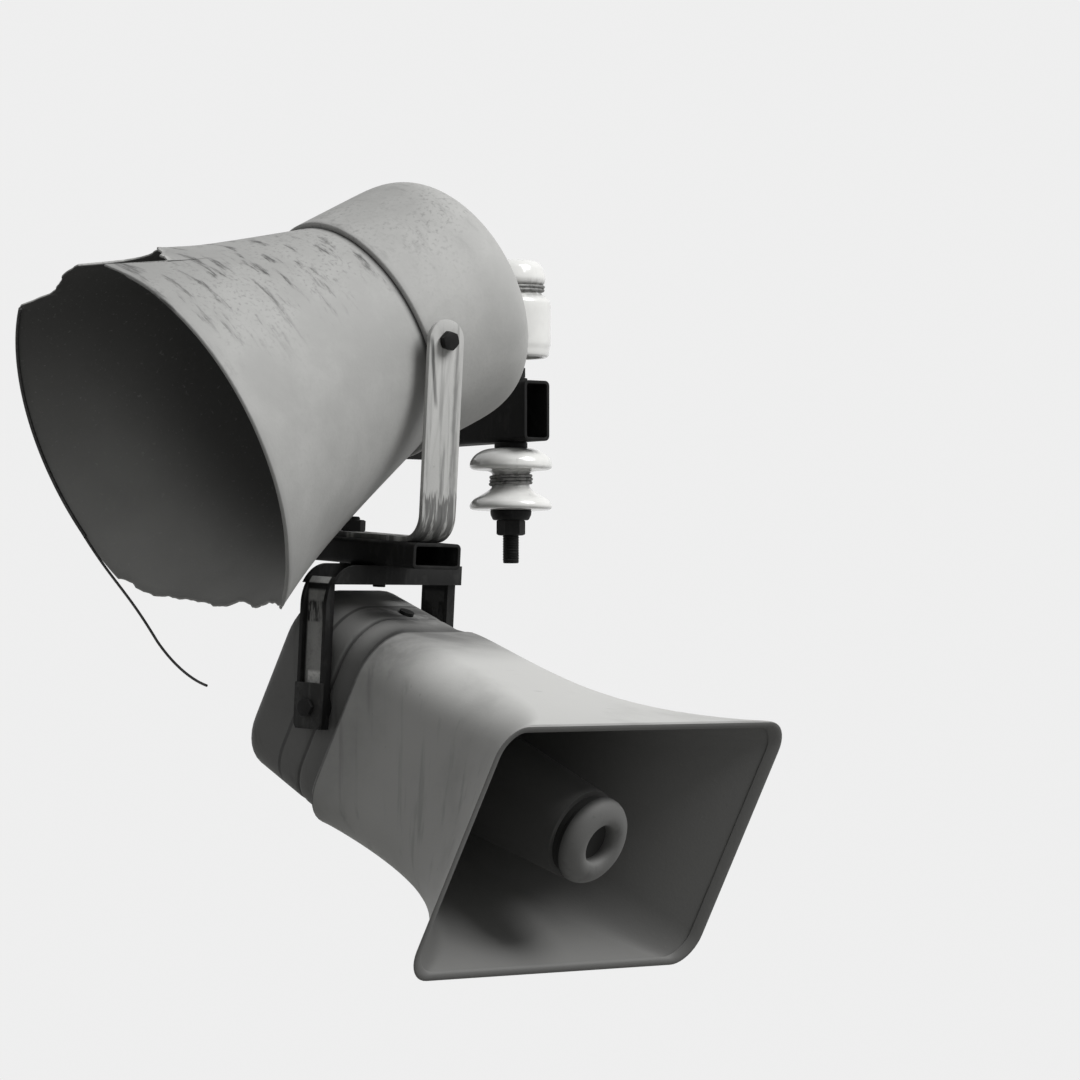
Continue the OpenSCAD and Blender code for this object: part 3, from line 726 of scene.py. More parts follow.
def points_in(piece: Piece, place: Matrix) -> list[Vector]:
    """Returns the points of a placed piece in a frame, in millimetres."""
    local = place.inverted()
    return [local @ (v.co / MM) for v in piece.data.vertices]


def store_along(piece: Piece, place: Matrix) -> None:
    """Stores each point's distance along the third axis of a frame, in millimetres."""
    store(piece, "along", [p.z for p in points_in(piece, place)])


def dressed(node: str, finish: Finish) -> None:
    """Gives a solid that shows as it is its finish.

    Args:
        node: the solid's name.
        finish: its finish.
    """
    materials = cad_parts[node].data.materials
    materials.clear()
    materials.append(finish.material())
    LOG.info("%s: kept, in %s", node, finish.name)


def settle(piece: Piece, body: Body, finish: Finish, *stands_for: str) -> Piece:
    """Gives a finished piece its finish and body, and reports it.

    Args:
        piece: the piece.
        body: the body that it rides on.
        finish: its finish, unless its mesh has its materials already.
        stands_for: solids of the frame that it replaces.
    Returns:
        The piece.
    """
    if not piece.data.materials:
        piece.data.materials.append(finish.material())
    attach(piece, body.value)
    if stands_for:
        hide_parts(*stands_for)
    LOG.info("%s: %d faces on %s, for %s", piece.name, len(piece.data.polygons), body.value,
             ", ".join(stands_for) or "no solid")
    return piece


def frozen(piece: Piece) -> Piece:
    """Turns a piece with live modifiers into a plain mesh.

    Args:
        piece: the piece.
    Returns:
        The same object with its evaluated mesh and no modifier.
    """
    bpy.context.view_layer.update()
    graph = bpy.context.evaluated_depsgraph_get()
    mesh = bpy.data.meshes.new_from_object(piece.evaluated_get(graph))
    piece.modifiers.clear()
    piece.data = mesh
    return piece


def softened(node: str, body: Body, finish: Finish, width: float) -> Piece:
    """Stands in for a solid with a copy whose edges are rounded.

    Args:
        node: the solid's name.
        body: the body that it rides on.
        finish: its finish.
        width: width of the rounding, in millimetres.
    Returns:
        The piece.
    """
    piece = linked(node + "_soft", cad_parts[node].data.copy())
    piece.data.materials.clear()
    work = bmesh.new()
    work.from_mesh(piece.data)
    bmesh.ops.remove_doubles(work, verts=work.verts, dist=1e-6)
    bmesh.ops.dissolve_limit(work, angle_limit=math.radians(1.5), verts=work.verts, edges=work.edges)
    work.to_mesh(piece.data)
    work.free()
    rounding = piece.modifiers.new("rounding", "BEVEL")
    rounding.width = width * MM
    rounding.segments = 2
    rounding.limit_method = "ANGLE"
    rounding.angle_limit = math.radians(40)
    shade_soft(frozen(piece), 30)
    return settle(piece, body, finish, node)


class ShapeTree(Board):
    """Base of the geometry trees: makes a tree with named inputs and runs it on a piece."""

    title: str
    counts: tuple[str, ...] = ()
    measures: tuple[str, ...] = ()

    def __init__(self) -> None:
        """Builds the tree once."""
        super().__init__(bpy.data.node_groups.new(self.title, "GeometryNodeTree"))
        face = self.tree.interface
        for way in ("OUTPUT", "INPUT"):
            face.new_socket("Geometry", in_out=way, socket_type="NodeSocketGeometry")
        kinds = {**dict.fromkeys(self.counts, "NodeSocketInt"),
                 **dict.fromkeys(self.measures, "NodeSocketFloat"), "Finish": "NodeSocketMaterial"}
        self.keys = {name: face.new_socket(name, in_out="INPUT", socket_type=kind).identifier
                     for name, kind in kinds.items()}
        self.given = self.node("NodeGroupInput")
        real = self.out("GeometryNodeRealizeInstances", {0: self.shape()})
        covered = self.out("GeometryNodeSetMaterial", {
            "Geometry": real, "Material": self.given.outputs["Finish"]})
        self.node("NodeGroupOutput", {0: covered})

    def size(self, name: str) -> Signal:
        """Returns a named input of the tree as a number."""
        return Signal(self, self.given.outputs[name])

    def shape(self) -> Socket:
        """Adds the nodes of the shape and returns its geometry."""
        raise NotImplementedError

    def run(self, piece: Piece, finish: Finish, **sizes: float) -> Piece:
        """Runs the tree on a piece and keeps the result as a plain mesh with one material slot.

        Args:
            piece: the piece with the tree's input mesh.
            finish: the finish that the tree sets.
            sizes: values of the named inputs, with _ for a space.
        Returns:
            The piece.
        """
        made = piece.modifiers.new(self.title, "NODES")
        made.node_group = self.tree
        made[self.keys["Finish"]] = finish.material()
        for name, value in sizes.items():
            made[self.keys[name.replace("_", " ")]] = value
        mesh = frozen(piece).data
        mesh.materials.clear()
        mesh.materials.append(finish.material())
        mesh.polygons.foreach_set("material_index", [0] * len(mesh.polygons))
        return piece

    def sheet(self, columns: Number, rows: Number) -> tuple[Socket, Signal, Signal]:
        """Adds a grid of points.

        Args:
            columns: number of points along its first side.
            rows: number of points along its second side.
        Returns:
            The grid, and each point's column and row, counted from 0.
        """
        grid = self.out("GeometryNodeMeshGrid", {
            "Size X": 1, "Size Y": 1, "Vertices X": columns, "Vertices Y": rows})
        x, y, _ = self.split(self.out("GeometryNodeInputPosition"))
        return grid, self.math("ROUND", (x + 0.5) * (columns - 1)), self.math("ROUND", (y + 0.5) * (rows - 1))

    def profile_point(self, row: Signal) -> tuple[Signal, Signal, Signal]:
        """Reads a point of the input outline.

        Args:
            row: the point's number.
        Returns:
            Its three numbers.
        """
        place = self.out("GeometryNodeInputPosition")
        return self.split(self.out(
            "GeometryNodeSampleIndex", {"Geometry": self.given.outputs["Geometry"], "Index": row, "Value": place},
            data_type="FLOAT_VECTOR", domain="POINT"))

    def swept(self, path: Socket, radius: Signal, sides: Signal | int) -> Socket:
        """Sweeps a ring with closed ends along a curve.

        Args:
            path: the curve.
            radius: the ring's radius.
            sides: the ring's number of points.
        Returns:
            The mesh.
        """
        ring = self.out("GeometryNodeCurvePrimitiveCircle", {"Resolution": sides, "Radius": radius},
                        mode="RADIUS")
        return self.out("GeometryNodeCurveToMesh", {"Curve": path, "Profile Curve": ring, "Fill Caps": True})


class TurnedTree(ShapeTree):
    """Turns the input outline, X its radius and Z its height, round the upright axis."""

    title = "turned piece"
    counts = ("Steps", "Rows")

    def shape(self) -> Socket:
        """See ShapeTree.shape."""
        steps = self.size("Steps")
        grid, column, row = self.sheet(steps + 1, self.size("Rows"))
        radius, _, height = self.profile_point(row)
        angle = column / steps * math.tau
        place = self.join(radius * self.math("COSINE", angle), radius * self.math("SINE", angle), height)
        return self.out("GeometryNodeSetPosition", {"Geometry": grid, "Position": place})


class FlareTree(ShapeTree):
    """Rounded rectangular flare: the input outline gives, at each row, the inset X and the distance Z."""

    title = "rectangular flare"
    counts = ("Corner Steps", "Rows")
    measures = ("Seam", "Reach", "Seam Width", "Seam Height", "Seam Corner", "Mouth Width", "Mouth Height",
                "Mouth Corner", "Drop", "Rise")
    # Share of the even growth and power of the fast growth, from the seam to the mouth
    width_growth: Pair = (0.1, 4.3)
    height_growth: Pair = (0.11, 3.4)
    corner_growth: Pair = (0.0, 3)
    corner_swell: float = 20
    rise_power: float = 0.66

    def grown(self, what: str, growth: Pair, along: Signal) -> Signal:
        """Adds a size that grows from the seam to the mouth, evenly at first and then fast.

        Args:
            what: Width, Height or Corner.
            growth: share of the even growth, and power of the fast growth.
            along: 0 at the seam, 1 at the mouth.
        Returns:
            The size.
        """
        start, end, (share, power) = self.size("Seam " + what), self.size("Mouth " + what), growth
        return start + (end - start) * (share * along + (1 - share) * along ** power)

    def shape(self) -> Socket:
        """See ShapeTree.shape."""
        steps, seam, drop = self.size("Corner Steps"), self.size("Seam"), self.size("Drop")
        grid, column, row = self.sheet(4 * (steps + 1) + 1, self.size("Rows"))
        inset, _, reach = self.profile_point(row)
        along = self.math("MINIMUM", (reach - seam) / (self.size("Reach") - seam), 1.0)
        along = self.math("MAXIMUM", along, 0.0)
        width = self.grown("Width", self.width_growth, along) - 2 * inset
        height = self.grown("Height", self.height_growth, along) - 2 * inset
        corner = self.grown("Corner", self.corner_growth, along)
        corner = corner + self.corner_swell * along * (1 - along) - inset
        rise = (self.size("Rise") + drop) * along ** self.rise_power - drop
        spot = self.math("MODULO", column, 4 * (steps + 1))
        quarter = self.math("FLOOR", spot / (steps + 1))
        angle = (quarter + (spot - quarter * (steps + 1)) / steps) * (math.pi / 2)
        right = 1 - 2 * ((quarter > 0.5) * (quarter < 2.5))
        upper = 1 - 2 * (quarter > 1.5)
        x = right * (width / 2 - corner) + corner * self.math("COSINE", angle)
        y = upper * (height / 2 - corner) + corner * self.math("SINE", angle) + rise
        return self.out("GeometryNodeSetPosition", {"Geometry": grid, "Position": self.join(x, y, reach)})


class WireTree(ShapeTree):
    """Sweeps a round wire with closed ends along the input mesh's line."""

    title = "wire along a path"
    counts = ("Sides",)
    measures = ("Radius",)

    def shape(self) -> Socket:
        """See ShapeTree.shape."""
        path = self.out("GeometryNodeMeshToCurve", {0: self.given.outputs["Geometry"]})
        return self.swept(path, self.size("Radius"), self.size("Sides"))


class ThreadTree(ShapeTree):
    """Winds the ridge of a screw thread up from the ground."""

    title = "screw thread"
    measures = ("Turns", "Length", "Radius", "Ridge")

    def shape(self) -> Socket:
        """See ShapeTree.shape."""
        coil = self.out("GeometryNodeCurveSpiral", {
            "Resolution": 24, "Rotations": self.size("Turns"), "Start Radius": self.size("Radius"),
            "End Radius": self.size("Radius"), "Height": self.size("Length")})
        return self.swept(coil, self.size("Ridge"), 4)


@dataclass(frozen=True)
class Trees:
    """The geometry trees that the sub-assemblies share."""

    turned: TurnedTree
    flare: FlareTree
    wire: WireTree
    thread: ThreadTree


def eased(points: Profile) -> Profile:
    """Draws a smooth line through points, which keeps to them without overshooting much.

    Args:
        points: the points.
    Returns:
        The finer line, in five parts from each point to the next.
    """
    given, parts = np.asarray(points, float), 5
    fine: list[Pair] = []
    for i in range(len(given) - 1):
        before, start, end, after = (given[k] for k in (max(i - 1, 0), i, i + 1, min(i + 2, len(given) - 1)))
        span = np.linalg.norm(end - start)
        leave, arrive = (way / max(np.linalg.norm(way), 1e-9) * span * 0.85
                         for way in (end - before, after - start))
        for t in (k / parts for k in range(parts)):
            fine.append(tuple((2 * t**3 - 3 * t**2 + 1) * start + (t**3 - 2 * t**2 + t) * leave
                              + (3 * t**2 - 2 * t**3) * end + (t**3 - t**2) * arrive))
    return [*fine, tuple(given[-1])]


def rings_of(rows: Iterable[tuple[float | np.ndarray, float | np.ndarray]], steps: int) -> list[np.ndarray]:
    """Makes rings of points round the upright axis.

    Args:
        rows: radius and height of each ring, each one number or one for every point.
        steps: number of points of a ring.
    Returns:
        An array of n by 3 for each ring.
    """
    turns = np.arange(steps) * math.tau / steps
    return [np.stack(np.broadcast_arrays(r * np.cos(turns), r * np.sin(turns), z), 1) for r, z in rows]


def lofted(name: str, rings: Sequence[np.ndarray]) -> Piece:
    """Joins closed rings of equal counts into a closed skin.

    Args:
        name: the piece's name.
        rings: arrays of n by 3, in order.
    Returns:
        The piece.
    """
    count, last = len(rings[0]), len(rings) - 1
    faces: list[Sequence[int]] = [
        (k * count + i, k * count + (i + 1) % count, (k + 1) * count + (i + 1) % count, (k + 1) * count + i)
        for k in range(last) for i in range(count)]
    ends = [range(count - 1, -1, -1), range(last * count, (last + 1) * count)]
    return bare_mesh(name, np.concatenate(rings), faces + ends)


@dataclass(frozen=True)
class HexFastener:
    """A chamfered hexagon with an optional washer under it and a threaded end beyond it."""

    corner_r: float = 11.5
    height: float = 8.0
    washer_r: float = 0.0
    washer_t: float = 4.0
    beyond: float = 0.0
    chamfer: float = 0.4
    tip: float = 1.2
    # Rise of the cone that takes the corners off, where it starts, and the flat end, as shares of the flats
    cone: float = 0.58
    cone_from: float = 1.01
    face: float = 0.97

    def rings(self) -> list[np.ndarray]:
        """Returns the rings of the closed shape, standing on the ground of its frame."""
        steps = 72
        flat, sixth = self.corner_r * math.cos(math.pi / 6), math.pi / 6
        turns = np.arange(steps) * math.tau / steps
        hexagon = flat / np.cos((turns + sixth) % (2 * sixth) - sixth)
        drop = np.maximum(0, hexagon - flat * self.cone_from) * self.cone + 0.15
        low, top = 0.0, self.height
        rows: list[tuple[float | np.ndarray, float | np.ndarray]] = []
        if self.washer_r:
            low, wide, cut = self.washer_t, self.washer_r, self.chamfer
            rows = [(wide - cut, 0), (wide, cut), (wide, low - cut), (wide - cut, low)]
        end_r = flat * self.face
        rows += [(end_r, low), (hexagon, low + drop), (hexagon, top - drop), (end_r, top)]
        if self.beyond:
            end = top + self.beyond
            rows += [(BOLT_R + self.chamfer, top), (BOLT_R, top - 0.3), (BOLT_R, end - self.tip),
                     (BOLT_R - self.tip, end)]
        return rings_of(rows, steps)

    def build(self, name: str, place: Matrix) -> Piece:
        """Makes the fastener standing in a frame."""
        return placed(lofted(name, self.rings()), place, 28)


def shank(name: str, radius: float, low: float, high: float, place: Matrix) -> Piece:
    """Makes a plain round bar with small chamfers at its ends.

    Args:
        name: the piece's name.
        radius: its radius.
        low: its lower end in its frame.
        high: its upper end.
        place: its frame.
    Returns:
        The piece.
    """
    cut = 0.6
    rows = [(radius - cut, low), (radius, low + cut), (radius, high - cut), (radius - cut, high)]
    return placed(lofted(name, rings_of(rows, 36)), place, 50)


def together(name: str, *pieces: Piece) -> Piece:
    """Joins placed pieces into one object.

    Args:
        name: the name of the joined piece.
        pieces: the pieces, all in metres.
    Returns:
        The joined piece.
    """
    bpy.ops.object.select_all(action="DESELECT")
    for piece in pieces:
        piece.select_set(True)
    bpy.context.view_layer.objects.active = pieces[0]
    bpy.ops.object.join()
    pieces[0].name = pieces[0].data.name = name
    return pieces[0]


@dataclass
class WallBracket:
    """Rail, plate and the two hollow arms, with the bolts that clamp the yokes."""

    arm_wall: float = 3.0
    strap_t: float = 5.0
    channel_drop: float = 18.0
    channel_nut: float = 9.0
    rounding: tuple[tuple[str, float], ...] = (
        ("wall_rail", 1.0), ("wall_plate", 1.0), ("lower_arm", 0.7), ("upper_arm", 0.7))

    def build(self) -> None:
        """Builds and dresses every piece of the bracket."""
        for node, width in self.rounding:
            softened(node, Body.BRACKET, STEEL, width)
        floor, seat = -ARM_HALF, ARM_HALF + self.strap_t
        web = floor - self.channel_drop
        self.clamp("upper", UPPER_BOLT_Y, shift(0, 0, floor) @ turn("X", 180),
                   HexFastener(height=11.0, beyond=3.0), shift(0, 0, seat), (floor, seat))
        self.clamp("lower", LOWER_BOLT_Y, shift(0, 0, floor + self.arm_wall), HexFastener(height=5.0),
                   shift(0, 0, web + self.channel_nut) @ turn("X", 180), (web - 3, floor + self.arm_wall))

    @staticmethod
    def clamp(which: str, y: float, head_at: Matrix, nut: HexFastener, nut_at: Matrix, ends: Pair) -> None:
        """Makes the bolt that clamps one yoke on the lower arm.

        Args:
            which: upper or lower.
            y: where the bolt goes through the arm.
            head_at: the head's place on the bolt's line.
            nut: the nut.
            nut_at: the nut's place on the bolt's line.
            ends: heights of the bar's ends.
        """
        place = ARM_FRAME @ shift(0, y, 0)
        head = HexFastener().build("head", place @ head_at)
        bar = shank("bar", BOLT_R, *ends, place)
        bolt = together(which + "_clamp_hex", head, nut.build("nut", place @ nut_at), bar)
        settle(bolt, Body.BRACKET, STEEL, which + "_clamp_bolt")


@dataclass
class InsulatorSet:
    """Threaded pin through the upper arm, with a bell insulator above it and a spool below."""

    trees: Trees
    pin_r: float = 7.5
    pin_low: float = -29.0
    arm_top: float = 146.0
    nut_r: float = 14.0
    nut_h: float = 15.0
    washer_r: float = 16.0
    bell_low: float = 170.0
    bell_r: float = 38.5
    bell_h: float = 94.0
    bell_groove: float = 28.5
    spool_low: float = 22.0
    spool_r: float = 40.0
    spool_h: float = 60.0
    neck_r: float = 18.0
    bore_gap: float = 0.3
    cup: Profile = ((19.2, 0), (20, 0.8), (19.6, 4.5), (17.6, 8.6), (16.8, 9.2), (7.5, 9.2))
    cup_seat: float = 9.0
    grime_half: float = 9.0
    # Height and rate of the tie wires' unevenness
    tie_wobble: Pair = (0.35, 3.3)
    tie_rise: float = 2.05
    wire_r: float = 1.6
    thread_pitch: float = 2.5
    thread_ridge: float = 0.6
    low_thread: Pair = (-27.0, 4.0)
    top_thread: Pair = (161.0, 182.0)

    def build(self) -> None:
        """Builds and dresses every piece on the pin."""
        softened("pin_collar", Body.BRACKET, STEEL, 0.8)
        above = PIN_FRAME @ shift(0, 0, self.arm_top)
        nut = HexFastener(self.nut_r, self.nut_h, self.washer_r).build("pin_top_hex", above)
        settle(nut, Body.BRACKET, STEEL, "pin_top_nut")
        under = PIN_FRAME @ shift(0, 0, self.spool_low) @ turn("X", 180)
        settle(placed(lofted("cup", rings_of(self.cup, 48)), under, 40), Body.BRACKET, STEEL, "spool_washer")
        nut = HexFastener(self.nut_r, self.nut_h).build("spool_hex", under @ shift(0, 0, self.cup_seat))
        settle(nut, Body.BRACKET, STEEL, "spool_nut")
        self.threads()
        self.bell()
        self.spool()
        self.ties()

    def threads(self) -> None:
        """Makes the pin, with the ridge of a thread where its ends show."""
        settle(shank("pin_bar", self.pin_r, self.pin_low, self.bell_low + 0.6 * self.bell_h, PIN_FRAME),
               Body.BRACKET, STEEL, "insulator_pin")
        for name, (low, high) in (("pin_thread_low", self.low_thread), ("pin_thread_top", self.top_thread)):
            piece = self.trees.thread.run(
                open_line(name, np.zeros((2, 3))), STEEL, Turns=(high - low) / self.thread_pitch,
                Length=high - low, Radius=self.pin_r, Ridge=self.thread_ridge)
            settle(placed(piece, PIN_FRAME @ shift(0, 0, low), 20), Body.BRACKET, STEEL)

    def turned(self, node: str, points: Profile, low: float, waist: float) -> None:
        """Turns one insulator from its outline and marks where grime gathers.

        Args:
            node: the solid that it stands for.
            points: radius and height of its outline.
            low: height of its underside.
            waist: height of the middle of its groove.
        """
        line = eased(points)
        piece = self.trees.turned.run(open_line(node + "_glazed", line), PORCELAIN, Steps=72, Rows=len(line))
        placed(piece, PIN_FRAME @ shift(0, 0, low), 60)
        heights = np.array([v.co.z / MM - low for v in piece.data.vertices])
        store(piece, "waist", np.clip(1.25 - np.abs(heights - waist) / self.grime_half, 0, 1))
        settle(piece, Body.BRACKET, PORCELAIN, node)

    def bell(self) -> None:
        """Makes the bell insulator, hollow below."""
        r, h, bore, g = self.bell_r, self.bell_h, self.pin_r + self.bore_gap, self.bell_h - self.bell_groove
        self.turned("bell_insulator", [
            (0, 56.7), (bore, 56.7), (bore + 0.3, 44), (r - 16, 41), (r - 11, 24), (r - 8, 3), (r - 6.5, 0.4),
            (r - 4, 0), (r - 2, 2), (r - 1, 8), (r, 13), (r, 28), (r, g - 13.5), (r - 1.5, g - 9.5),
            (r - 5, g - 6.5), (r - 8.6, g - 4), (r - 9, g), (r - 8.6, g + 4), (r - 6, g + 6.5), (r - 5, h - 18),
            (r - 6, h - 12), (r - 8, h - 6), (r - 12, h - 1.8), (r - 18, h), (0, h)], self.bell_low, g)

    def spool(self) -> None:
        """Makes the spool insulator with its waist for the line."""
        r, n, h, bore = self.spool_r, self.neck_r, self.spool_h, self.pin_r + self.bore_gap
        self.turned("spool_insulator", [
            (bore, 0), (n + 4, 0), (r - 5, 0.4), (r - 1, 1.6), (r, 4.0), (r - 1.2, 7.5), (r - 5, 11.5),
            (r - 11, 15), (n + 5, 18.5), (n + 1, 22), (n, 25), (n, h - 26), (n + 1, h - 23.5), (n + 6, h - 21.5),
            (r - 4, h - 20.6), (r - 0.8, h - 19), (r, h - 16.5), (r - 1.2, h - 11.5), (r - 5, h - 6.5),
            (r - 11, h - 2.6), (r - 17, h - 0.6), (n, h), (bore, h), (bore, 0)], self.spool_low, h / 2)

    def ties(self) -> None:
        """Winds the tie wires round both insulators."""
        height, rate = self.tie_wobble
        for which, radius, middle, turns in (
                ("bell", self.bell_r - 7.4, self.bell_low + self.bell_h - self.bell_groove, 2),
                ("spool", self.neck_r + 1.5, self.spool_low + self.spool_h / 2 - 1, 3)):
            angles = np.linspace(0, turns * math.tau, 48 * turns)
            rise = (angles / math.tau - turns / 2) * self.tie_rise * self.wire_r
            reach = radius + height * np.sin(angles * rate)
            line = np.stack([reach * np.cos(angles), reach * np.sin(angles), rise], 1)
            piece = self.trees.wire.run(open_line(which + "_tie_coil", line), WIRE, Radius=self.wire_r, Sides=10)
            settle(placed(piece, PIN_FRAME @ shift(0, 0, middle)), Body.BRACKET, WIRE, which + "_tie_wire")


@dataclass
class StrapYoke:
    """Bent flat bar that carries the upper horn."""

    edge: float = 1.0

    def build(self) -> None:
        """Builds and dresses the strap."""
        softened("upper_yoke", Body.UPPER_YOKE, STRAP, self.edge)


@dataclass
class BellHorn:
    """Spun bell with its torn rim, domed rear cover and the pivots in the strap."""

    trees: Trees
    seam_s: float = 10.0
    seam_r: float = 116.0
    edge_s: float = 254.0
    edge_r: float = 198.25
    mouth_s: float = 257.0
    sheet: float = 2.5
    rim_r: float = 197.0
    hem_r: float = 2.2
    bead_r: float = 1.8
    wire_r: float = 1.3
    wire_len: float = 122.0
    wire_bend_r: float = 86.0
    wire_bend: float = 50.0
    # Height, rate and start of the loose wire's unevenness, away from the bell and forwards
    sway: tuple[Triple, Triple] = ((0.8, 0.055, 0), (0.9, 0.04, 1))
    cover_r: float = 121.0
    dome_back: float = 60.0
    dome_depth: float = 75.0
    dome_power: float = 0.6
    strap_half: float = 136.0
    boss_r: float = 9.0
    near_rim: Pair = (-137.0, -27.0)
    far_rim: Pair = (46.0, 120.0)
    columns: int = 450
    rows: int = 40
    tip_rows: int = 7
    # Reach from which the bent rim leaves the bell's own line
    bent_from: float = 165.0
    # Turn from the top and reach in front of the pivots of the torn upper edge
    top_tear: Profile = (
        (-18.9, 206), (-17, 204), (-12, 199), (-3, 184), (3, 174), (8, 167), (14, 165), (19, 169), (21.5, 182),
        (22.5, 204), (24, 223), (30, 229), (36, 232), (41, 234), (44, 246), (46, 257))
    # Distance towards the wall from the strap's bolt and height over the arm of the torn lower edge
    low_tear: Profile = (
        (-150, -52), (-128, -50), (-96, -53), (-51, -51), (-16, -55), (10, -54), (22, -58), (64, -56),
        (107, -53), (131, -42), (160, -36))
    # Height in millimetres, waves to a turn and start of each part of a torn edge's raggedness
    ragged: tuple[Triple, ...] = ((1.1, 26, 0.4), (0.6, 61, 1.1), (0.3, 131, 0.0))
    # Height, number to a turn and length of the waves in which a torn edge flares out
    flare_out: Triple = (1.6, 18, 7)
    # Turn in degrees, inward and forward bend in millimetres, and sideways drift in degrees of the near rim
    rim_bend: tuple[tuple[float, float, float, float], ...] = (
        (-180, 0, 0, 0), (-140, 0, 1, 0), (-120, 2.5, 4, 0), (-90, 4.0, 5, 0), (-60, 7.0, 4.5, 1),
        (-45, 9.5, 4, 2.5), (-35, 10, 3.5, 5), (-28, 11.5, 3, 7), (-22, 12, 2.6, 8.5), (-19, 11.5, 2.4, 9.5),
        (-10, 9, 2, 6), (20, 0, 0, 0), (180, 0, 0, 0))
    # Turn, reach, their half widths, and depth of each shallow dent
    dents: tuple[tuple[float, float, float, float, float], ...] = (
        (-72, 205, 24, 34, -2.0), (-28, 140, 16, 30, -1.6), (-110, 150, 20, 36, 1.2), (70, 200, 20, 30, -2.0),
        (150, 190, 24, 30, 2.0), (10, 160, 12, 22, 1.5))

    def build(self) -> None:
        """Builds and dresses every piece of the upper horn."""
        self.shell()
        self.rim_wire()
        self.cover()
        dressed("upper_driver", BAFFLE)
        self.pivots()

    def wall_r(self, reach: np.ndarray) -> np.ndarray:
        """Returns the outer radius of the bell at a reach in front of the pivots."""
        t = (reach - self.seam_s) / (self.edge_s - self.seam_s)
        return self.seam_r + (self.edge_r - self.seam_r) * (0.8 * t + 0.2 * t**4)

    def jag(self, angle: float) -> float:
        """Returns the small raggedness of a torn edge at a turn in degrees, in millimetres."""
        return sum(height * math.sin(waves * math.radians(angle) + start) for height, waves, start in self.ragged)

    def sheet_end(self, angle: float) -> tuple[float, Edge]:
        """Finds where the sheet ends in one direction.

        Args:
            angle: turn from the top of the bell, towards the wall.
        Returns:
            The reach of the end, and how the sheet ends.
        """
        if self.top_tear[0][0] < angle < self.top_tear[-1][0]:
            return float(np.interp(angle, *zip(*self.top_tear))) + self.jag(angle), Edge.TORN
        reach = np.arange(120.0, self.mouth_s + 0.5, 0.5)
        radius, around = self.wall_r(reach), math.radians(angle)
        local = np.stack([radius * math.cos(around), radius * math.sin(around), reach, np.ones_like(reach)])
        in_arm = np.array(shift(0, 0, BELL_UP) @ BELL_TURN) @ local
        below = np.nonzero(in_arm[2] < np.interp(in_arm[1], *zip(*self.low_tear)))[0]
        if len(below):
            return float(reach[below[0]]) + self.jag(angle), Edge.TORN
        return self.mouth_s, Edge.HEMMED

    def swell(self, angle: float, reach: np.ndarray) -> np.ndarray:
        """Adds up how far the dents push the sheet out.

        Args:
            angle: turn from the top of the bell.
            reach: distances in front of the pivots.
        Returns:
            The push at each reach.
        """
        total = np.zeros_like(reach)
        for at, along, half, length, depth in self.dents:
            off = (angle - at + 180) % 360 - 180
            total += depth * np.exp(-(off / half) ** 2 - ((reach - along) / length) ** 2)
        return total

    def column(self, angle: float) -> tuple[np.ndarray, np.ndarray]:
        """Makes one lengthwise line of the shell: outside, round the end, and back inside.

        Args:
            angle: turn from the top of the bell.
        Returns:
            The points, and their distance from the torn end.
        """
        end, kind = self.sheet_end(angle)
        hemmed = kind is Edge.HEMMED and self.near_rim[0] <= angle <= self.near_rim[1]
        half = self.hem_r if hemmed else self.sheet / 2
        turns, *bends = zip(*self.rim_bend)
        bend, lead, drift = (float(np.interp(angle, turns, values)) for values in bends)
        last = end - half
        reach = self.seam_s + (last - self.seam_s) * np.linspace(0, 1, self.rows)
        share = np.clip((reach - self.bent_from) / (self.mouth_s - self.bent_from), 0, 1) ** 2
        outer = self.wall_r(reach) + self.swell(angle, reach) - bend * share
        if kind is Edge.TORN:
            height, waves, length = self.flare_out
            outer += height * math.sin(math.radians(waves * angle)) * np.exp((reach - last) / length)
        reach = reach + lead * share
        inner = outer - self.sheet
        inner[-1] = outer[-1] - 2 * half
        sweep = np.radians(np.linspace(80, -80, self.tip_rows))
        radius = np.concatenate([outer, outer[-1] - half + half * np.sin(sweep), inner[::-1]])
        front = np.concatenate([reach, reach[-1] + half * np.cos(sweep), reach[::-1]])
        aside = np.radians(angle + drift * share)
        aside = np.concatenate([aside, np.full(self.tip_rows, aside[-1]), aside[::-1]])
        away = np.full(len(radius), 99.0)
        if kind is Edge.TORN:
            away = np.maximum(0, np.concatenate([last - reach, np.zeros(self.tip_rows), (last - reach)[::-1]]))
        return np.stack([radius * np.cos(aside), radius * np.sin(aside), front], 1), away

    def shell(self) -> None:
        """Makes the bell's sheet, with its inside in the dark finish."""
        count, step = self.columns, 360 / self.columns
        angles = np.arange(-180, 180, step)
        lines = [self.column(float(a)) for a in angles]
        height = len(lines[0][0])
        points = np.concatenate([line for line, _ in lines])
        faces = [(i * height + j, (i + 1) % count * height + j, (i + 1) % count * height + (j + 1) % height,
                  i * height + (j + 1) % height) for i in range(count) for j in range(height)]
        piece = bare_mesh("bell_sheet", points, faces)
        corners = [value for a in angles for _ in range(height) for value in (a, a + step, a + step, a)]
        store(piece, "around", corners, "CORNER")
        store(piece, "along", points[:, 2])
        store(piece, "edge", np.concatenate([away for _, away in lines]))
        for finish in (BELL, INSIDE):
            piece.data.materials.append(finish.material())
        inside = [int(k % height >= self.rows + self.tip_rows // 2) for k in range(len(faces))]
        piece.data.polygons.foreach_set("material_index", inside)
        placed(piece, BELL_FRAME, 40)
        settle(piece, Body.UPPER_HORN, BELL, "upper_bell", "upper_near_rim")

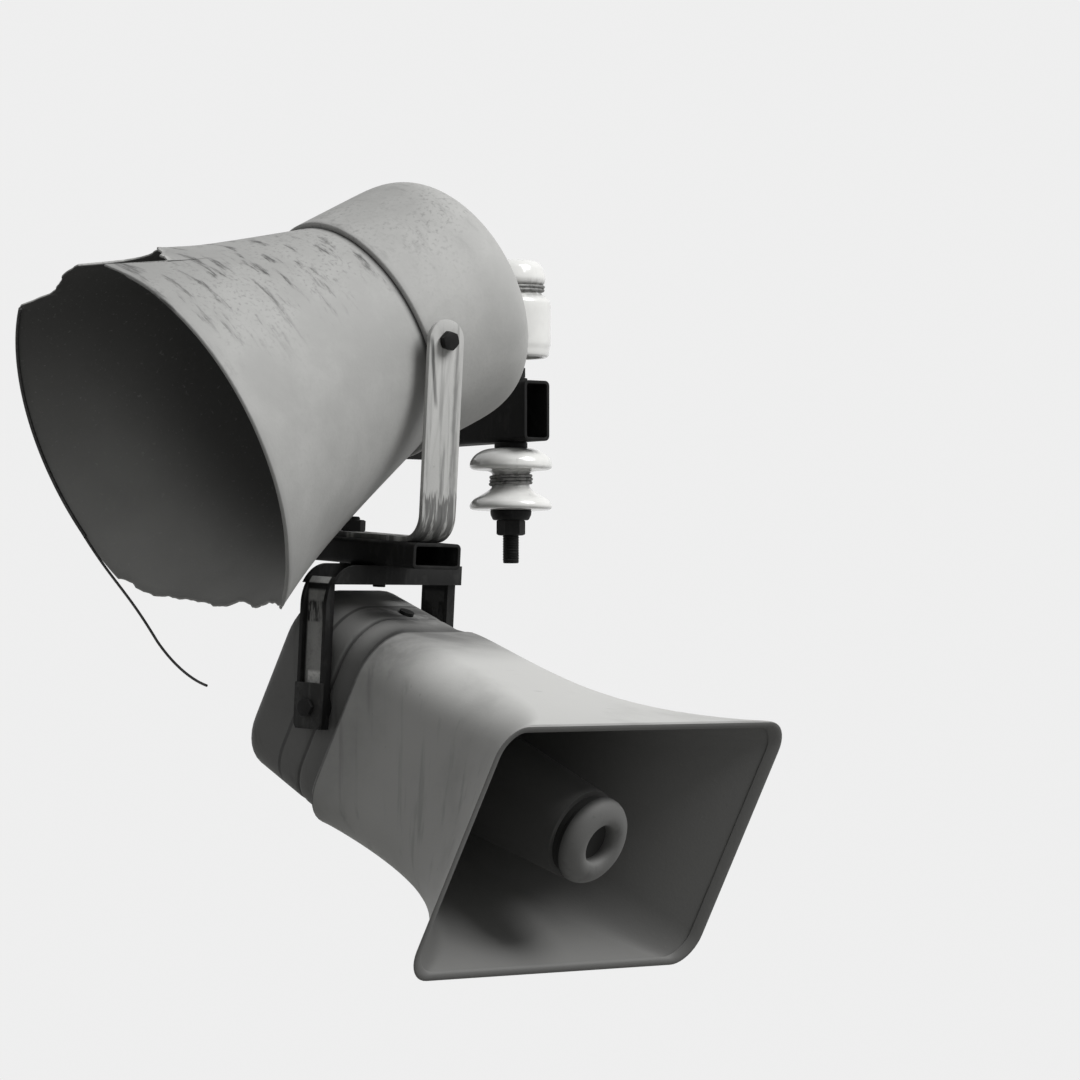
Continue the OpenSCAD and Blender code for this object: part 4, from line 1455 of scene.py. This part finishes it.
    def rim_wire(self) -> None:
        """Makes the far stretch of the rim and the loose end of its wire."""
        start, end = (math.radians(a) for a in self.far_rim)
        arc = np.linspace(start, end, 60)
        rim = np.stack([self.rim_r * np.cos(arc), self.rim_r * np.sin(arc), 0 * arc + self.mouth_s], 1)
        out, way = np.array([math.cos(end), math.sin(end), 0]), np.array([-math.sin(end), math.cos(end), 0])
        straight = np.linspace(-6, self.wire_len, 30)[:, None]
        aside, ahead = (height * np.sin(straight * rate + begin) for height, rate, begin in self.sway)
        loose = rim[-1] + straight * way + aside * out + ahead * np.array([0, 0, 1.0])
        bend = np.radians(np.linspace(2, self.wire_bend, 24))[:, None]
        tail = loose[-1] + self.wire_bend_r * (np.sin(bend) * way - (1 - np.cos(bend)) * out)
        wires = []
        for name, line, radius, sides in (("far_bead", rim, self.bead_r, 16),
                                          ("loose_wire", np.concatenate([loose, tail]), self.wire_r, 12)):
            wire = self.trees.wire.run(open_line(name, line), RIM_WIRE, Radius=radius, Sides=sides)
            wires.append(placed(wire, BELL_FRAME))
        settle(together("far_rim_wire", *wires), Body.UPPER_HORN, RIM_WIRE, "upper_far_rim_wire")

    def dome(self, inset: float) -> list[Pair]:
        """Returns the cover's domed outline, from its side to just short of its middle, under an even inset."""
        radius, depth, power = self.cover_r - inset, self.dome_depth - inset, self.dome_power
        return [(radius * math.cos(a) ** power, -self.dome_back - depth * math.sin(a) ** power)
                for a in np.radians(np.linspace(0, 90, 40))[:-1]]

    def cover(self) -> None:
        """Turns the domed rear cover with its inward hem at the seam."""
        r, s, t, back = self.cover_r, self.seam_s, self.sheet, -self.dome_back - self.dome_depth
        hem = self.seam_r - t - 2
        line = [(hem, s - t), (hem, s - 0.3), (hem + 0.4, s), (r - 2.2, s), (r - 1.2, s - 0.25),
                (r - 0.35, s - 0.9), (r, s - 2.0), (r, s - 6), (r, s - 25), (r, -self.dome_back / 2),
                *self.dome(0), (0, back), (0, back + t), *self.dome(t)[::-1], (r - t, s - t), (hem, s - t)]
        piece = self.trees.turned.run(open_line("rear_cover_dome", line), COVER, Steps=180, Rows=len(line))
        placed(piece, BELL_FRAME, 40)
        at = points_in(piece, BELL_FRAME)
        for name, values in (("around", [math.degrees(math.atan2(p.y, p.x)) for p in at]),
                             ("along", [p.z for p in at]), ("edge", [99.0] * len(at))):
            store(piece, name, values)
        settle(piece, Body.UPPER_HORN, COVER, "upper_rear_cover")

    def pivots(self) -> None:
        """Makes the pivot bolt of each side: boss on the cover, shank and head."""
        low, seat = self.cover_r - 1.5, self.strap_half + 0.3
        for side, node in ((1, "upper_near_pivot"), (-1, "upper_far_pivot")):
            place = BELL_FRAME @ turn("X", side * 90)
            boss = shank("boss", self.boss_r, low, self.strap_half - 5.3, place)
            head = HexFastener(9.2, 7.5).build("head", place @ shift(0, 0, seat) @ turn("Z", 20))
            bolt = together(node + "_hex", boss, shank("bar", BOLT_R, low, seat, place), head)
            settle(bolt, Body.UPPER_HORN, STEEL, node)


@dataclass
class ChannelYoke:
    """Pressed channel that hangs the lower horn, with the end plates round its pivots."""

    edge: float = 0.9
    plate_low: float = -153.0
    plate_high: float = -110.0
    plate_half: float = 16.6
    plate_x: float = 92.3
    plate_t: float = 2.4
    fold: float = 0.6
    corner_r: float = 6.0

    def build(self) -> None:
        """Builds and dresses the channel and its plates."""
        softened("lower_yoke", Body.LOWER_YOKE, CHANNEL_STEEL, self.edge)
        self.plate("lower_near_end_plate", -1)
        self.plate("lower_far_end_plate", 1)

    def plate(self, node: str, side: int) -> None:
        """Makes one end plate, rounded at its lower corners and folded a little over its edges.

        Args:
            node: the solid that it stands for.
            side: -1 for the near leg, 1 for the far leg.
        """
        half, r, t, high = self.plate_half, self.corner_r, self.plate_t, self.plate_high - self.plate_low
        low = [(-half + r - r * math.cos(a), r - r * math.sin(a)) for a in np.radians(np.linspace(0, 90, 7))]
        edge = np.array([(-half, high), *low, *[(-y, z) for y, z in reversed(low)], (half, high)])
        rings = []
        for x, inset in ((-self.fold, 0.0), (t - 0.9, 0.0), (t - 0.25, 0.3), (t, 1.0)):
            y, z = (edge.mean(0) + (edge - edge.mean(0)) * (1 - inset / half)).T
            rings.append(np.stack([np.full(len(y), side * (self.plate_x + x)), y, self.plate_low + z], 1))
        settle(placed(lofted(node + "_plate", rings), CHANNEL_FRAME), Body.LOWER_YOKE, PLATE_STEEL, node)


@dataclass
class RectangularHorn:
    """Flared rectangular shell with its centre tube and ring lip, and the closed rear body."""

    trees: Trees
    seam: float = 37.0
    reach: float = 302.0
    wall: float = 4.0
    lip: float = 7.0
    mouth_w: float = 420.0
    mouth_h: float = 260.0
    mouth_corner: float = 32.0
    mouth_rise: float = 12.0
    body_w: float = 152.0
    body_h: float = 198.0
    body_taper: float = 14.0
    body_drop: float = 3.0
    body_back: float = 74.0
    body_end_r: float = 14.0
    body_corner: float = 46.0
    rear_seam: float = 3.0
    band_end: float = 16.0
    shoulder: float = 28.0
    shoulder_w: float = 178.0
    step: float = 1.8
    groove: float = 1.5
    yoke_half: float = 81.5
    leg_depth: float = 11.0
    plate_t: float = 2.5
    spacer_r: float = 14.0
    mouth_middle: float = 5.0
    frontal: float = 0.8
    recess_r: float = 18.1
    recess_z: float = 246.0
    nose_back: float = 243.5

    def build(self) -> None:
        """Builds and dresses every piece of the lower horn."""
        self.flare()
        for node, finish in (("lower_back_wall", HOLLOW), ("lower_centre_tube", TUBE), ("lower_plug", STEEL)):
            dressed(node, finish)
        self.ring_lip()
        self.body()
        self.pivots()

    def flare(self) -> None:
        """Lofts the flare with its rounded front lip, and gives its inside the shaded finish."""
        end, lip, wall, start = self.reach, self.lip, self.wall, (0.8, self.seam)
        line = [start, *((0.0, float(z)) for z in np.linspace(self.seam + 0.8, end - 3, 44)),
                (0.3, end - 1.3), (1.2, end - 0.35), (2.5, end), (4.4, end), (lip - 1, end - 0.4), (lip, end - 1.5),
                (lip, end - 4), (lip - 0.6, end - 5), (wall + 0.2, end - 6),
                *((wall, float(z)) for z in np.linspace(end - 8, self.seam, 36)), start]
        piece = self.trees.flare.run(
            open_line("horn_flare", line), SHELL, Corner_Steps=10, Rows=len(line), Seam=self.seam, Reach=end,
            Seam_Width=self.shoulder_w + 2 * self.step, Seam_Height=self.body_h + 2 * self.step,
            Seam_Corner=self.body_corner + self.step, Mouth_Width=self.mouth_w, Mouth_Height=self.mouth_h,
            Mouth_Corner=self.mouth_corner, Drop=self.body_drop, Rise=self.mouth_rise)
        placed(piece, HORN_FRAME, 40)
        piece.data.materials.append(HOLLOW.material())
        store_along(piece, HORN_FRAME)
        local = HORN_FRAME.inverted()
        aim = local.to_3x3()
        for face in piece.data.polygons:
            at, out = local @ (face.center / MM), aim @ face.normal
            inward = out.x * at.x / self.mouth_w + out.y * (at.y - self.mouth_middle) / self.mouth_h < 0
            face.material_index = int(inward or out.z > self.frontal)
        settle(piece, Body.LOWER_HORN, SHELL, "lower_flare")

    def ring(self, width: float, inset: float, z: float) -> np.ndarray:
        """Makes one ring of the body.

        Args:
            width: its width before the inset.
            inset: how far it lies inside the body's outline.
            z: its distance in front of the pivots.
        Returns:
            Its points.
        """
        tall = self.body_h - self.body_taper * max(0, self.shoulder - z) / (self.shoulder + self.body_back)
        r = self.body_corner - 0.6 * inset
        x, y = width / 2 - inset - r, tall / 2 - inset - r
        return np.array([
            (right * x + r * math.cos(angle), upper * y + r * math.sin(angle) - self.body_drop, z)
            for quarter, (right, upper) in enumerate(((1, 1), (-1, 1), (-1, -1), (1, -1)))
            for angle in np.radians(np.linspace(90 * quarter, 90 * quarter + 90, 11))])

    def body(self) -> None:
        """Lofts the rear cap with its rounded end, and the band between the two seams."""
        w, r, g, seam = self.body_w, self.body_end_r, self.groove, self.rear_seam
        back, start, wider = r - self.body_back, self.shoulder - 3, self.shoulder_w - w
        end = [self.ring(w, r * (1 - math.sin(a)), back - r * math.cos(a))
               for a in np.radians(np.linspace(0, 90, 9))]
        side = [self.ring(w, 0, z) for z in np.linspace(back + 6, seam - 5, 8)]
        cap = [*end, *side, self.ring(w, 0.4, seam - 2.4), self.ring(w, g, seam - 1.1), self.ring(w, g, seam)]
        slope = [self.ring(w + wider * (0.5 - 0.5 * math.cos(math.pi * t)), 0, start + (self.seam - start) * t)
                 for t in np.linspace(0, 0.96, 9)]
        band = [self.ring(w, g, seam), self.ring(w, g, seam + 0.9), self.ring(w, 0.4, seam + 2.2),
                self.ring(w, 0, seam + 4.5), self.ring(w, 0, self.band_end), *slope,
                self.ring(self.shoulder_w, 0.6, self.seam)]
        for name, rings in (("rear_cap", cap), ("middle_band", band)):
            piece = placed(lofted(name, rings), HORN_FRAME, 50)
            store_along(piece, HORN_FRAME)
            settle(piece, Body.LOWER_HORN, REAR_SHELL, "lower_" + name)

    def ring_lip(self) -> None:
        """Turns the rounded nose at the end of the centre tube, with the groove behind it and its recess."""
        line = [(0, 231), (38, 231), (38, 239.0), (39.5, 239.4), (41.2, 241), (42, 243.5), (41.9, 246.5),
                (40.8, 250), (38.3, 253.6), (34.5, 256.6), (30, 258.6), (26, 259), (22.6, 258.5), (20, 256.8),
                (18.6, 254), (18.2, 250), (18, 245.6), (17, 245), (0, 245)]
        piece = self.trees.turned.run(open_line("ring_nose", line), NOSE, Steps=96, Rows=len(line))
        store_along(placed(piece, TUBE_FRAME, 45), TUBE_FRAME)
        # The recess and the nose's back take the near-black recess finish as painted shade
        piece.data.materials.append(RECESS.material())
        local = TUBE_FRAME.inverted()
        for face in piece.data.polygons:
            at = local @ (face.center / MM)
            deep = math.hypot(at.x, at.y) < self.recess_r and at.z < self.recess_z
            face.material_index = int(at.z < self.nose_back or deep)
        settle(piece, Body.LOWER_HORN, NOSE, "lower_ring_lip")

    def pivots(self) -> None:
        """Makes the pivot bolt of each side: spacer, shank and head on the end plate."""
        low, seat = self.body_w / 2 - 1, self.yoke_half + self.leg_depth + self.plate_t + 0.3
        for side, node in ((-1, "lower_near_pivot"), (1, "lower_far_pivot")):
            place = HORN_FRAME @ turn("Y", side * 90)
            spacer = shank("spacer", self.spacer_r, low, self.yoke_half - 0.3, place)
            head = HexFastener(9.0, 4.5).build("head", place @ shift(0, 0, seat))
            bolt = together(node + "_hex", spacer, shank("bar", BOLT_R, low, seat, place), head)
            settle(bolt, Body.LOWER_HORN, STEEL, node)


@dataclass
class Studio:
    """Camera at the photograph's angle, plain pale floor and soft light."""

    eye: Triple = (-3.5426, -5.2643, -0.2385)
    heading: float = 37.0
    pitch: float = 2.115
    lens: float = 216.67
    floor_z: float = -0.62
    floor_r: float = 30.0
    fade_from: Pair = (-0.35, 0.45)
    floor_fade: Pair = (0.75, 1.7)
    pale: Grey = 0.86
    sky: Grey = 0.215
    bounce: Grey = 0.30
    aim: Triple = (0, -0.3, 0)
    # Name, place, side in metres and power in watts of each light
    lamps: tuple[tuple[str, Triple, float, float], ...] = (
        ("key light", (1.6, -3.0, 3.3), 2.3, 214), ("fill light", (-3.0, -3.2, 0.6), 2.4, 6))

    def build(self) -> None:
        """Sets up everything that isn't part of the object."""
        self.camera()
        self.floor()
        self.world()
        for lamp in self.lamps:
            self.lamp(*lamp)
        bpy.context.scene.view_settings.view_transform = "Standard"

    def camera(self) -> None:
        """Puts the camera where the photograph was taken from."""
        made = bpy.data.objects.new("camera", bpy.data.cameras.new("camera"))
        made.data.lens, made.data.sensor_width, made.data.clip_end = self.lens, 36, 200
        made.location = self.eye
        made.rotation_euler = (math.radians(90 + self.pitch), 0, math.radians(-self.heading))
        bpy.context.scene.collection.objects.link(made)
        bpy.context.scene.camera = made

    def floor(self) -> None:
        """Lays a wide pale floor that fades into the background."""
        ring = rings_of([(self.floor_r / MM, self.floor_z / MM)], 72)[0]
        piece = placed(bare_mesh("floor", ring, [range(len(ring))]), Matrix.Identity(4))
        surface = Surface("pale floor")
        x, y, _ = surface.split(surface.here)
        x, y = x - self.fade_from[0], y - self.fade_from[1]
        far = surface.math("SQRT", x * x + y * y).fade(*self.floor_fade)
        seen = self.seen(surface)
        plain = surface.out("ShaderNodeBsdfDiffuse", {"Color": surface.coated(self.bounce, (seen, self.pale))})
        glow = surface.out("ShaderNodeEmission", {"Color": (self.pale, self.pale, self.pale, 1)})
        mixed = surface.out("ShaderNodeMixShader", {0: far * seen, 1: plain, 2: glow})
        surface.node("ShaderNodeOutputMaterial", {0: mixed})
        piece.data.materials.append(surface.material)

    @staticmethod
    def seen(board: Board) -> Signal:
        """Tells what the camera sees from plain light.

        Args:
            board: the tree.
        Returns:
            1 for what the camera sees, directly, by reflection or through glass, and else 0.
        """
        rays = board.node("ShaderNodeLightPath").outputs
        direct, mirrored, through = (
            Signal(board, rays[f"Is {kind} Ray"]) for kind in ("Camera", "Glossy", "Transmission"))
        return board.math("MAXIMUM", board.math("MAXIMUM", direct, mirrored), through)

    def world(self) -> None:
        """Gives the world a plain sky light, and a pale background to the camera and to reflections."""
        world = bpy.data.worlds.new("studio")
        world.use_nodes = True
        bpy.context.scene.world = world
        board = Board(world.node_tree)
        board.tree.nodes.clear()
        sky, back = (board.out("ShaderNodeBackground", {"Color": (1, 1, 1, 1), "Strength": strength})
                     for strength in (self.sky, self.pale))
        mixed = board.out("ShaderNodeMixShader", {0: self.seen(board), 1: sky, 2: back})
        board.node("ShaderNodeOutputWorld", {0: mixed})

    def lamp(self, name: str, at: Triple, size: float, power: float) -> None:
        """Hangs one square soft light that faces the object.

        Args:
            name: the light's name.
            at: its place.
            size: its side, in metres.
            power: its power in watts.
        """
        made = bpy.data.objects.new(name, bpy.data.lights.new(name, "AREA"))
        made.data.size, made.data.energy = size, power
        made.location = at
        made.rotation_euler = (Vector(self.aim) - Vector(at)).to_track_quat("-Z", "Y").to_euler()
        bpy.context.scene.collection.objects.link(made)


def main() -> None:
    """Builds the studio and every sub-assembly in order."""
    logging.basicConfig(level=logging.INFO, format="%(name)s: %(message)s")
    Studio().build()
    trees = Trees(TurnedTree(), FlareTree(), WireTree(), ThreadTree())
    for assembly in (WallBracket(), InsulatorSet(trees), StrapYoke(), BellHorn(trees), ChannelYoke(),
                     RectangularHorn(trees)):
        assembly.build()


if __name__ == "__main__":
    main()
